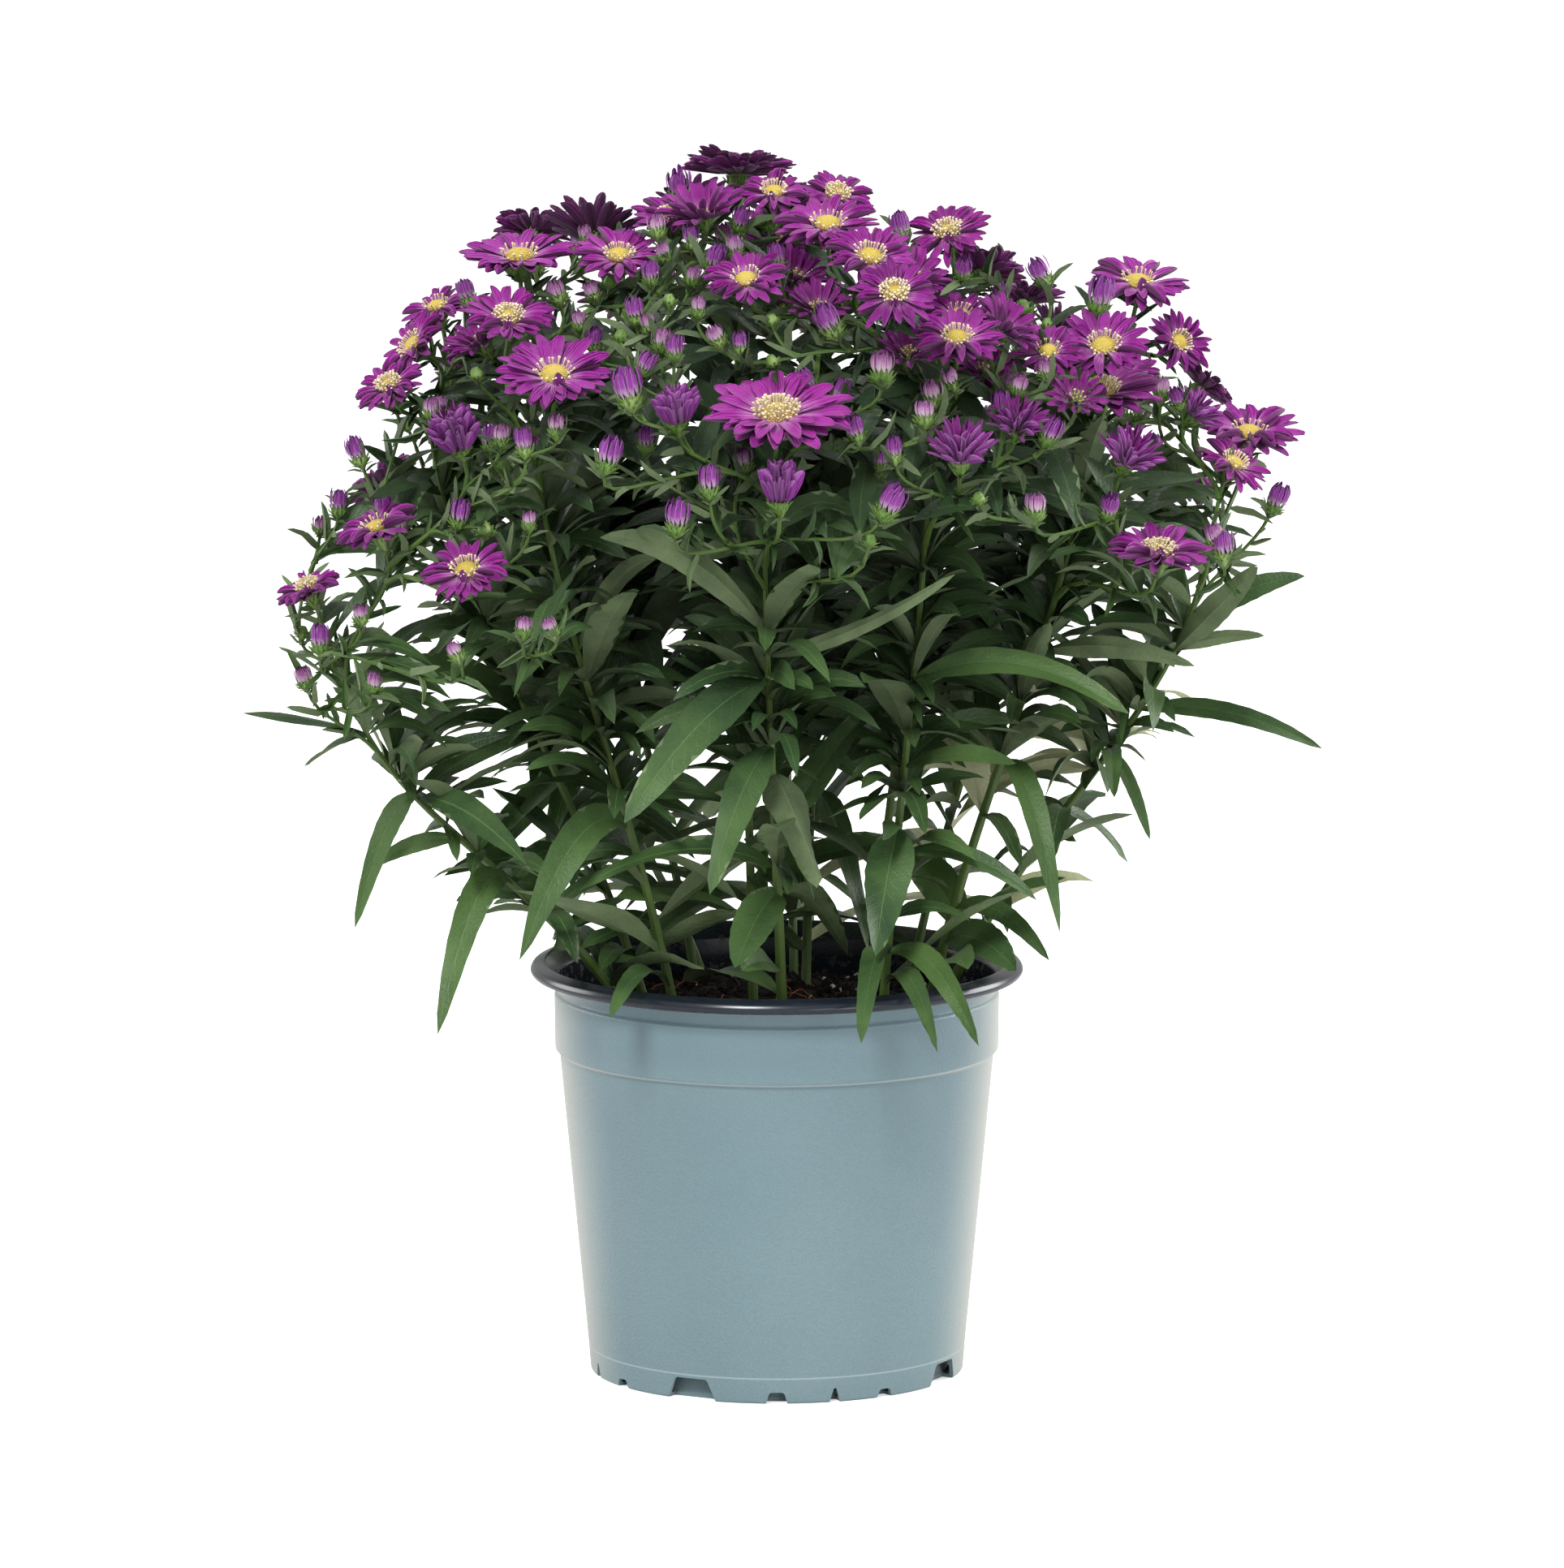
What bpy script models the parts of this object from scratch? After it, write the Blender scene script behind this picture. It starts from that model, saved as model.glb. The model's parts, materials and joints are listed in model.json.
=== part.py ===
# Potted aster: a nursery pot, its potting mix, and the leafy stems and blooms that grow from it.
# Metres, +Z up. The origin is on the pot's axis, on the surface that the pot stands on.
# The viewer stands on the -Y side, and across is +X. Sizes in the tables are in millimetres.
import math
import random

import bmesh
import bpy
from mathutils import Matrix, Vector, noise
from mathutils.bvhtree import BVHTree

MM = 0.001

# Pot: a thermoformed 17 cm nursery pot.
RIM_RADIUS = 85.0
RIM_HEIGHT = 143.0
WALL = 1.2
NECK_RADIUS = 75.4
COLLAR_RADIUS = 76.6
COLLAR_TOP = 131.6
COLLAR_FOOT = 112.4
BODY_TOP_RADIUS = 74.8
CREASE_RADIUS = 65.0
CREASE_HEIGHT = 8.8
FOOT_RADIUS = 64.3
FOOT_RING = 6.0
FLOOR_HEIGHT = 6.8
POT_STEPS = 28

# Drain notches in the pot's foot, one set in each quarter: turn, width below and above, height.
NOTCH_SET = [(0.0, 19.0, 12.0, 7.6), (27.0, 8.0, 5.0, 4.0), (45.0, 4.6, 1.0, 5.0), (62.0, 7.0, 4.2, 3.0)]
NOTCH_DEPTH = 10.0
FIRST_NOTCH_TURN = -27.0
DRAIN_HOLES = 4
DRAIN_HOLE_RADIUS = 4.0
DRAIN_RING_RADIUS = 38.0

# Potting mix.
MIX_SIDE_GAP = 0.5
MIX_FLOOR_GAP = 0.3
MIX_TOP = 127.0
MIX_STEPS = 18
MIX_BUMP = 2.2
HOLE_GAP = 0.8
ROOT_DEPTH = 22.0

# The plant's outline: half an egg in front of the axis and half behind it.
CROWN_HALF_WIDTH = 172.0
CROWN_HALF_DEPTH = 140.0
CROWN_MIDDLE = 235.0
CROWN_RISE = 176.0
VIEW_DROP = math.radians(9.0)

# Petals and discs. A petal is widest at PETAL_SHOULDER of its length.
PETALS = 11
OPENING_PETALS = 6
HUB_HEIGHT = 2.4
DISC_SHARE = 0.17
SMALLEST_DISC = 3.6
DISC_DOME = 0.42
PETAL_SHOULDER = 0.68
PETAL_FILL = 0.8
SHORT_PETAL = 0.94
UPPER_PETAL = 0.9
LOWER_PETAL = -0.7
OPENING_LIFT = 52.0
OPENING_DISC = 2.7
OPENING_SINK = 0.6

# The green cup under a bloom, as reaches from its foot and shares of the disc's radius.
CUP = [(3.0, 0.55), (6.0, 0.66)]
CUP_LENGTH = 6.0
CUP_GAP = 0.3
OPENING_CUP = [(3.0, 2.6), (6.5, 3.4)]

# Stems and branches.
STEM_RUNS = 5
STEM_TIP = 7.0
BRANCH_RUNS = 2
FLOWER_BRANCH = 0.8
BUD_BRANCH = 0.7
BLOOM_REACH = (24, 150)
OPENING_REACH = (16, 110)
BUD_REACH = (9, 70)

# How far a head may move along the view to find room, in the order tried.
BLOOM_SHIFTS = (0, 6, -6, 12, -12, 18, -18, 26, -26, 34, -34)
BUD_SHIFTS = (0, 5, -5, 10, -10, 16, -16, 24)
LEAF_SHIFTS = (0, -8, 8, -16, 16, -26, 26)

# Leaves.
LEAF_THICKNESS = 1.3
LEAF_WAVE = 0.10
LEAF_FOLD = 0.22
RIB_STEPS = 24
CLEARANCE = 0.35

# Main stems: foot across and back, head across, up and back, thickness.
STEMS = [
    (-52, -12, -146, 236, -30, 4.6),
    (-46, 14, -118, 318, 4, 4.2),
    (-34, -36, -82, 318, -62, 4.4),
    (-28, 40, -72, 345, 52, 4.2),
    (2, -48, -4, 282, -84, 5.0),
    (-8, -8, -14, 372, -16, 4.4),
    (10, 22, 16, 340, 66, 4.4),
    (6, 56, 2, 282, 118, 4.2),
    (36, -34, 52, 318, -66, 4.4),
    (32, 6, 56, 352, -6, 4.4),
    (52, -8, 106, 318, -34, 4.8),
    (46, 34, 92, 318, 62, 4.2),
    (58, 12, 146, 276, -6, 4.8),
    (-26, 60, -92, 278, 98, 4.2),
]

# Open blooms as the viewer sees them: across, up, behind the crown's surface, lean from upright,
# turn of that lean (0 is to the viewer, 90 to the right), width.
BLOOMS = [
    (0, 322, 0, 21, 0, 48),
    (-87, 378, 10, 14, -10, 38),
    (-53, 377, 10, 26, 0, 30),
    (-90, 356, 4, 29, 0, 31),
    (-74, 336, 0, 31, 0, 37),
    (-122, 349, 12, 55, -65, 28),
    (-130, 334, 6, 34, -35, 26),
    (-116, 363, 30, 24, -40, 26),
    (-84, 390, 40, 34, 180, 30),
    (-35, 391, 22, 20, -10, 28),
    (-13, 409, 34, 10, 170, 38),
    (-1, 399, 6, 29, 0, 25),
    (20, 399, 20, 34, 20, 26),
    (17, 387, 4, 23, 0, 34),
    (31, 375, 2, 30, 10, 32),
    (39, 362, 0, 43, 0, 29),
    (61, 357, 22, 36, 20, 26),
    (60, 348, 0, 30, 0, 31),
    (58, 386, 16, 34, -20, 29),
    (-10, 368, 4, 30, -10, 28),
    (70, 374, 44, 34, 150, 28),
    (84, 364, 52, 16, 180, 28),
    (91, 345, 10, 38, 0, 24),
    (110, 347, 4, 38, 0, 33),
    (109, 332, 0, 13, 0, 41),
    (124, 372, 30, 19, 10, 36),
    (137, 352, 20, 58, 35, 24),
    (146, 338, 46, 46, 100, 26),
    (162, 320, 16, 20, 20, 36),
    (155, 309, 0, 34, 50, 27),
    (128, 277, 2, 17, 20, 35),
    (-134, 286, 8, 26, -60, 29),
    (-103, 271, 4, 34, -20, 30),
    (-158, 266, 6, 26, -60, 25),
]

# Blooms behind the plant, with the same columns, for which the crown's surface is the rear one.
REAR_BLOOMS = [
    (-104, 346, 4, 36, -150, 32),
    (-52, 368, 2, 32, 180, 34),
    (4, 366, 0, 34, 180, 38),
    (56, 360, 2, 30, 165, 33),
    (104, 342, 4, 38, 140, 31),
    (-78, 318, 0, 46, -165, 30),
    (28, 320, 0, 44, 175, 34),
    (92, 306, 0, 46, 150, 29),
    (-136, 304, 6, 46, -125, 28),
    (138, 306, 8, 42, 120, 30),
]

# Half-open flowers, fused to their stems: the same columns as the blooms.
OPENING = [
    (117, 309, 2, 34, 40, 19),
    (61, 309, 0, 24, 0, 20),
    (-106, 314, 2, 40, -20, 18),
    (-33, 322, 6, 26, -10, 14),
    (1, 295, 0, 12, 0, 15),
    (80, 320, 8, 36, 10, 16),
    (142, 327, 14, 44, 60, 14),
]

# Buds: across, up, behind the crown's surface, length.
BUDS = [
    (-56, 309, 0, 11), (-49, 331, 2, 13), (-33, 288, 0, 11), (-22, 300, 2, 10), (-84, 314, 4, 9),
    (-47, 358, 6, 9), (-105, 367, 16, 9), (-33, 403, 16, 11), (18, 354, 8, 11), (10, 334, 14, 10),
    (26, 318, 4, 9), (39, 311, 6, 8), (37, 293, 0, 12), (91, 318, 4, 10), (75, 327, 6, 9),
    (110, 366, 22, 12), (111, 293, 4, 9), (171, 298, 10, 10), (151, 280, 8, 10), (42, 388, 16, 9),
    (-154, 249, 0, 9), (-73, 320, 0, 9), (35, 339, 0, 12), (49, 324, 0, 10), (58, 336, 6, 9),
    (81, 334, 2, 9), (86, 293, 0, 11), (-84, 253, 0, 8), (-75, 253, 0, 8), (-107, 245, 0, 8),
    (-160, 237, 4, 9), (-140, 258, 8, 8), (-135, 235, 0, 8), (-38, 379, 10, 8), (-62, 366, 12, 8),
    (-20, 350, 8, 9), (-116, 327, 6, 8), (-161, 254, 14, 8), (-101, 340, 6, 8), (-2, 357, 6, 8),
    (31, 283, 0, 8), (67, 297, 0, 8),
]
REAR_BUDS = [
    (-70, 346, 4, 10), (-20, 350, 2, 9), (34, 346, 2, 10), (80, 332, 4, 9), (-108, 318, 4, 10),
    (-34, 318, 0, 9), (66, 304, 0, 10),
]

# Long leaves as the viewer sees them: foot across and up, tip across, up and back, width, lift.
LONG_LEAVES = [
    (-2, 238, -51, 188, -122, 15, 8), (5, 211, -23, 164, -118, 13, 8), (-30, 187, -86, 142, -96, 13, 18),
    (-125, 196, -144, 152, -34, 8, 11), (-106, 186, -141, 171, -18, 6, 4),
    (-88, 165, -115, 116, -62, 11, 20),
    (-84, 158, -110, 161, -10, 6, 4), (-133, 214, -182, 225, -30, 6, 2), (-133, 215, -161, 207, -44, 6, 2),
    (-147, 235, -171, 248, -4, 6, 2), (-84, 230, -139, 239, -66, 12, 6), (-9, 256, -59, 283, -132, 10, 10),
    (-42, 256, -96, 256, -108, 9, 8), (8, 247, 59, 271, -120, 6, -4), (60, 236, 118, 224, -92, 11, 12),
    (118, 227, 186, 213, -36, 7, 6), (105, 224, 114, 196, -60, 7, 6), (80, 206, 96, 151, -70, 9, 16),
    (38, 210, 80, 208, -104, 7, 4), (119, 210, 128, 182, -10, 5, 4), (51, 171, 88, 162, -70, 7, 8),
    (66, 158, 93, 141, -48, 7, 8), (38, 138, 68, 113, -92, 9, 12), (36, 136, 54, 111, -98, 8, 14),
    (22, 138, 28, 115, -100, 10, 12), (20, 141, -12, 138, -92, 9, 4), (-24, 132, -56, 123, -92, 9, 10),
    (47, 188, 33, 143, -84, 16, 4), (-8, 206, 15, 167, -88, 19, 2), (52, 152, 82, 137, -52, 14, 6),
    (-6, 166, -14, 139, -90, 15, 4), (-62, 152, -76, 145, -40, 9, 4), (142, 272, 180, 272, -20, 9, 4),
    (128, 252, 163, 275, -52, 10, 0), (130, 250, 167, 252, -30, 5, 2), (106, 244, 141, 241, -64, 8, 4),
    (-112, 300, -140, 316, -34, 6, 0), (-116, 306, -136, 297, -56, 6, 0), (124, 316, 144, 305, -30, 6, 2),
    (-60, 180, -104, 158, 110, 13, 10), (-8, 214, -26, 188, 146, 14, 6), (34, 190, 62, 166, 128, 13, 10),
    (70, 215, 118, 210, 98, 12, 8), (4, 158, 12, 146, 112, 12, 6),
]

# The other leaves follow a rule: for each main stem, how many, and their sizes low and high on it.
LEAVES_PER_STEM = 6
LOW_LEAF = (68.0, 15.0)
HIGH_LEAF = (46.0, 10.0)
LEAF_TURN = 137.5
LEAF_REACH = 168.0
LEAF_TRIALS = 14

SEED = 17
FLAT_ANGLE = math.radians(1.0)
SMOOTH_ANGLE = math.radians(35.0)


def from_front(across, up, back):
    """A place in metres, from how far across and up it is seen from the front and its real depth."""
    height = (up - back * math.sin(VIEW_DROP)) / math.cos(VIEW_DROP)
    return Vector((across, back, height)) * MM


def crown_depth(across, up):
    """How far the crown's surface stands before or behind the pot's axis at a place in the view."""
    left = 1.0 - (across / CROWN_HALF_WIDTH) ** 2 - ((up - CROWN_MIDDLE) / CROWN_RISE) ** 2
    return CROWN_HALF_DEPTH * math.sqrt(max(left, 0.0))


def leaning(tilt, turn):
    """The direction that leans from upright by tilt, towards turn (0 is to the viewer)."""
    tilt, turn = math.radians(tilt), math.radians(turn)
    return Vector((math.sin(tilt) * math.sin(turn), -math.sin(tilt) * math.cos(turn), math.cos(tilt)))


def finer(points):
    """The same course with three more places on each of its straight runs."""
    fine = []
    for first, second in zip(points, points[1:]):
        fine += [first.lerp(second, share / 4) for share in range(4)]
    return fine + [points[-1]]


def bezier(first, second, third, last, count):
    """Points at equal steps along one cubic curve."""
    points = []
    for step in range(count + 1):
        t = step / count
        s = 1.0 - t
        points.append(first * s**3 + second * 3 * s * s * t + third * 3 * s * t * t + last * t**3)
    return points


def upright_frame(place, axis, spin=0.0):
    """A matrix that stands a shape made along +Z on a place, along an axis."""
    turn = axis.to_track_quat("Z", "Y").to_matrix().to_4x4()
    return Matrix.Translation(place) @ turn @ Matrix.Rotation(spin, 4, "Z")


# Shapes for the clearance tests


class Clearances:
    """The pieces placed so far, for testing whether a new piece would touch one."""

    def __init__(self):
        self.pieces = []

    def add(self, shape, name):
        self.pieces.append((*shape_box(shape), BVHTree.FromPolygons(*shape), name))

    def is_clear(self, shape, skip=()):
        low, high = shape_box(shape)
        tree = None
        for other_low, other_high, other, name in self.pieces:
            if name in skip or any(low[i] > other_high[i] or high[i] < other_low[i] for i in range(3)):
                continue
            tree = tree or BVHTree.FromPolygons(*shape)
            if tree.overlap(other):
                return False
        return True


def shape_box(shape):
    points = shape[0]
    low = [min(point[i] for point in points) for i in range(3)]
    high = [max(point[i] for point in points) for i in range(3)]
    return low, high


def ring_points(radius, height, steps=24):
    """Points round the Z axis, from a radius and a height in millimetres."""
    turns = [2 * math.pi * step / steps for step in range(steps)]
    return [Vector((radius * math.cos(turn), radius * math.sin(turn), height)) * MM for turn in turns]


def ring_shape(rings, capped=True):
    """A skin over rings that each hold the same number of points."""
    sides = len(rings[0])
    points = [point for ring in rings for point in ring]
    faces = []
    for row in range(len(rings) - 1):
        for side in range(sides):
            a = row * sides + side
            b = row * sides + (side + 1) % sides
            faces.append((a, b, b + sides, a + sides))
    if capped:
        faces.append(tuple(range(sides)))
        faces.append(tuple(range(len(points) - sides, len(points))))
    return points, faces


def sleeve_shape(points, radii, sides=6):
    """A tube a little wider than the one that it stands for."""
    rings = []
    for index, point in enumerate(points):
        along = points[min(index + 1, len(points) - 1)] - points[max(index - 1, 0)]
        reach = (radii[index] + CLEARANCE * MM) / math.cos(math.pi / sides)
        frame = upright_frame(point, along)
        rings.append([frame @ corner for corner in ring_points(reach / MM, 0, sides)])
    return ring_shape(rings)


def dish_shape(frame, radius, lift, sides=12):
    """A thick dish that holds all the petals of a bloom."""
    rings = []
    for share, height in ((0.2, -0.4), (1.0, lift - 2.2), (1.0, lift + 2.4), (0.3, 5.2)):
        reach = radius * share + CLEARANCE * MM
        rings.append([frame @ point for point in ring_points(reach / MM, height, sides)])
    return ring_shape(rings)


def mesh_shape(mesh):
    return [vertex.co.copy() for vertex in mesh.vertices], [tuple(face.vertices) for face in mesh.polygons]


# Meshes of the pieces


def tube_mesh(points, radii, resolution=0):
    """A solid tube along points, as thick as its radii say, from a bevelled curve."""
    curve = bpy.data.curves.new("tube", "CURVE")
    curve.dimensions = "3D"
    curve.bevel_depth = 1.0
    curve.bevel_resolution = resolution
    curve.use_fill_caps = True
    spline = curve.splines.new("POLY")
    spline.points.add(len(points) - 1)
    for spot, point, radius in zip(spline.points, points, radii):
        spot.co = (*point, 1.0)
        spot.radius = radius
    holder = bpy.data.objects.new("tube", curve)
    mesh = bpy.data.meshes.new_from_object(holder)
    bpy.data.objects.remove(holder)
    bpy.data.curves.remove(curve)
    shape = bmesh.new()
    shape.from_mesh(mesh)
    bmesh.ops.remove_doubles(shape, verts=shape.verts, dist=0.00001)
    bmesh.ops.triangulate(shape, faces=shape.faces)
    shape.to_mesh(mesh)
    shape.free()
    return mesh


def blade_mesh(leaf, grow=0.0):
    """A lance-shaped leaf: a long ball of few sides, laid flat along an arched rib, its edges waved."""
    shape = bmesh.new()
    bmesh.ops.create_uvsphere(shape, u_segments=leaf["corners"], v_segments=leaf["rows"], radius=1.0)
    if leaf["corners"] == 3:
        shape.transform(Matrix.Rotation(math.radians(30), 4, "Z"))
    places = blade_places(shape, leaf, grow)
    if leaf["corners"] == 4:
        split_alike(shape)
    for vertex, place in places.items():
        vertex.co = place
    bmesh.ops.triangulate(shape, faces=shape.faces)
    mesh = bpy.data.meshes.new("leaf")
    shape.to_mesh(mesh)
    shape.free()
    return mesh


def blade_places(shape, leaf, grow):
    """Where each corner of the long ball goes: to an edge of the blade, or over or under its rib."""
    foot, middle, tip = leaf["foot"], leaf["middle"], leaf["tip"]
    rib = bezier(foot, foot.lerp(middle, 0.66), tip.lerp(middle, 0.66), tip, RIB_STEPS)
    places = {}
    for vertex in shape.verts:
        share = 0.5 - 0.5 * vertex.co.z
        step = min(int(share * RIB_STEPS), RIB_STEPS - 1)
        along = (rib[step + 1] - rib[step]).normalized()
        side = along.cross(leaf["face"]).normalized()
        face = side.cross(along)
        place = rib[step].lerp(rib[step + 1], share * RIB_STEPS - step)
        if abs(vertex.co.x) > abs(vertex.co.y):
            edge = math.copysign(1.0, vertex.co.x)
            half = leaf["width"] * 0.5 * math.sin(math.pi * share**0.8) ** 0.7 + grow
            wave = leaf["width"] * LEAF_WAVE * math.sin(7.0 * share + leaf["phase"] + edge)
            place += side * edge * half + face * (wave + half * LEAF_FOLD)
        elif abs(vertex.co.z) < 0.99:
            place += face * math.copysign(leaf["thickness"] * 0.5 + grow, vertex.co.y)
        places[vertex] = place
    return places


def split_alike(shape):
    """Split a blade's four-cornered faces in the same way on its upper and lower side."""
    for face in [face for face in shape.faces if len(face.verts) == 4]:
        edge_corner = max((v for v in face.verts if abs(v.co.x) > abs(v.co.y)), key=lambda v: v.co.z)
        rib_corner = min((v for v in face.verts if abs(v.co.y) > abs(v.co.x)), key=lambda v: v.co.z)
        bmesh.utils.face_split(face, edge_corner, rib_corner)


def bloom_mesh(radius, disc, petals, lift_angle, frame, sink=0.0):
    """A flower head: a low drum, each of whose sides is pulled out into a petal, under a domed disc."""
    shape = bmesh.new()
    middle = HUB_HEIGHT * MM * 0.5 - sink
    bmesh.ops.create_cone(shape, cap_ends=True, segments=petals, radius1=disc * 0.8, radius2=disc,
                          depth=HUB_HEIGHT * MM, matrix=Matrix.Translation((0, 0, middle)))
    hub = list(shape.verts)
    caps = [face for face in shape.faces if abs(face.normal.z) > 0.9]
    sides = [face for face in shape.faces if face not in caps]
    ends = bmesh.ops.extrude_discrete_faces(shape, faces=sides)["faces"]
    rise = math.tan(math.radians(lift_angle))
    for index, end in enumerate(ends):
        layer = UPPER_PETAL if index % 2 else LOWER_PETAL
        length = radius * (1.0 if index % 2 else SHORT_PETAL)
        spread_petal(end, disc, length, middle, layer * MM, rise, petals)
    bmesh.ops.remove_doubles(shape, verts=list({v for end in ends for v in end.verts}), dist=1e-6)
    wide = [edge for edge in shape.edges if not any(vertex in hub for vertex in edge.verts)]
    tips = [pull_tip(edge, disc, rise) for edge in wide]
    bmesh.ops.connect_verts(shape, verts=hub + tips)
    for cap in caps:
        bmesh.ops.poke(shape, faces=[cap], offset=disc * DISC_DOME if cap.normal.z > 0 else 0.0)
    bmesh.ops.triangulate(shape, faces=shape.faces)
    shape.transform(frame)
    mesh = bpy.data.meshes.new("bloom")
    shape.to_mesh(mesh)
    shape.free()
    return mesh


def spread_petal(end, disc, length, middle, layer, rise, petals):
    """Draw the end of a pulled-out side into a level edge at the petal's widest place."""
    centre = end.calc_center_median()
    out = Vector((centre.x, centre.y, 0)).normalized()
    across = Vector((-out.y, out.x, 0))
    reach = disc + (length - disc) * PETAL_SHOULDER
    half = PETAL_FILL * math.pi * reach / petals
    height = Vector((0, 0, middle + (reach - disc) * rise + layer))
    for vertex in end.verts:
        side = math.copysign(half, across.dot(vertex.co))
        vertex.co = out * reach + across * side + height


def pull_tip(edge, disc, rise):
    """Split a petal's widest edge and pull its middle out to the petal's tip."""
    tip = bmesh.utils.edge_split(edge, edge.verts[0], 0.5)[1]
    reach = tip.co.xy.length
    further = (reach - disc) * (1.0 / PETAL_SHOULDER - 1.0)
    tip.co += Vector((tip.co.x, tip.co.y, 0)).normalized() * further
    tip.co.z += further * rise * 0.7
    return tip


# The plan of the plant


def stem_plan(row, index):
    """The course of one main stem, from its foot in the mix to its head in the crown."""
    foot = Vector((row[0], row[1], MIX_TOP)) * MM
    head = from_front(row[2], row[3], row[4])
    length = (head - foot).length
    outward = Vector((head.x - foot.x, head.y - foot.y, 0))
    start = (head - foot).normalized() + Vector((0, 0, 0.25))
    finish = Vector((0, 0, 1)) + outward * 2.0
    rail = finer(bezier(foot, foot + start.normalized() * length * 0.4,
                        head - finish.normalized() * length * 0.3, head, STEM_RUNS))
    thick = row[5] * MM * 0.5
    return {"node": f"leafy_stem_{index + 1:02d}", "rail": rail, "thick": thick,
            "root": foot - start.normalized() * ROOT_DEPTH * MM}


def stem_points(stem):
    """The points and radii of a main stem's tube, which narrows to a tip at its head."""
    rail = stem["rail"]
    shares = [1.0] + [1.0 - 0.6 * run / STEM_RUNS for run in range(STEM_RUNS + 1)]
    axis = (rail[-1] - rail[-3]).normalized()
    points = [stem["root"]] + rail[::4] + [rail[-1] + axis * STEM_TIP * MM]
    return points, [stem["thick"] * share for share in shares] + [FLOWER_BRANCH * MM]


def branch_course(rail, step, end, axis, sway):
    """A side branch that leaves a rail at one of its points and arrives along an axis."""
    start = rail[step]
    along = (rail[step] - rail[step - 1]).normalized()
    reach = (end - start).length
    out = (along * 0.6 + (end - start).normalized() * 0.4).normalized()
    return bezier(start, start + out * reach * 0.35 + sway, end - axis * reach * 0.3 + sway, end,
                  BRANCH_RUNS)


def branch_choices(rails, end, nearest, farthest):
    """Places on the rails where a branch to a given end could start, the best first."""
    choices = []
    for rail_name, rail in rails.items():
        for step in range(len(rail) // 3, len(rail)):
            away = end - rail[step]
            reach = away.length
            if not nearest * MM < reach < farthest * MM:
                continue
            along = (rail[step] - rail[step - 1]).normalized()
            bend = math.degrees(along.angle(away))
            if bend > 80 or away.z < 0.0:
                continue
            choices.append((reach / MM + bend * 0.6, rail_name, step))
    return sorted(choices)


def find_branch(plan, end, axis, tail, limits, thick, draw):
    """The first clear branch to a place: tail is what it carries there, as reaches and radii."""
    radii = [thick * MM * 0.72] + [thick * MM] * BRANCH_RUNS + [radius * MM for _, radius in tail]
    for _, rail_name, step in branch_choices(plan["rails"], end, *limits)[:60]:
        for trial in range(3):
            sway = Vector((draw.uniform(-1, 1), draw.uniform(-1, 1), draw.uniform(-1, 1))) * 4 * MM * trial
            points = branch_course(plan["rails"][rail_name], step, end, axis, sway)
            points += [end + axis * reach * MM for reach, _ in tail]
            shape = sleeve_shape(points, radii)
            if plan["placed"].is_clear(shape, skip=(rail_name,)):
                return {"node": plan["owner"][rail_name], "points": points, "radii": radii,
                        "shape": shape}
    return None


def surface_place(across, up, inward, rear, shift=0.0):
    """A place on the crown's front or rear surface, moved in from it and then along the view."""
    depth = crown_depth(across, up)
    back = depth - inward if rear else inward - depth
    return from_front(across, up, back + shift)


def keep_branch(plan, branch, name):
    plan["owner"][name] = branch["node"]
    plan["placed"].add(branch["shape"], name)
    plan["branches"].append(branch)
    plan["rails"][name] = finer(branch["points"][:BRANCH_RUNS + 1])


def place_bloom(plan, row, rear, number, draw):
    """Find a clear place near the wanted one for a bloom and its branch, and keep both."""
    across, up, inward, tilt, turn, width = row
    axis = leaning(tilt, turn)
    radius = width * 0.5 * MM
    disc = max(width * DISC_SHARE, SMALLEST_DISC) * MM
    lift_angle = draw.uniform(4, 16)
    spin = draw.uniform(0, 1)
    rise = (radius - disc) / MM * math.tan(math.radians(lift_angle)) * 0.85
    cup = [(reach, disc / MM * share) for reach, share in CUP]
    for shift in BLOOM_SHIFTS:
        place = surface_place(across, up, inward, rear, shift)
        frame = upright_frame(place, axis, spin)
        dish = dish_shape(frame, radius, rise)
        end = place - axis * (CUP_LENGTH + CUP_GAP) * MM
        branch = None
        if plan["placed"].is_clear(dish):
            branch = find_branch(plan, end, axis, cup, BLOOM_REACH, FLOWER_BRANCH, draw)
        if branch:
            keep_branch(plan, branch, f"stalk {number}")
            plan["placed"].add(dish, f"bloom {number}")
            plan["blooms"].append((frame, radius, disc, lift_angle))
            return True
    return False


def place_opening(plan, row, rear, number, draw):
    """A half-open flower, whose cup and petals are one with its branch."""
    across, up, inward, tilt, turn, width = row
    axis = leaning(tilt, turn)
    radius = width * 0.5 * MM
    for shift in BLOOM_SHIFTS:
        place = surface_place(across, up, inward, rear, shift)
        head = sleeve_shape([place, place + axis * 9.0 * MM], [radius * 0.5, radius], 8)
        branch = None
        if plan["placed"].is_clear(head):
            end = place - axis * CUP_LENGTH * MM
            branch = find_branch(plan, end, axis, OPENING_CUP, OPENING_REACH, FLOWER_BRANCH, draw)
        if branch:
            keep_branch(plan, branch, f"opening {number}")
            plan["placed"].add(head, f"opening head {number}")
            plan["openings"].append((branch["node"], upright_frame(place, axis), radius))
            return True
    return False


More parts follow.
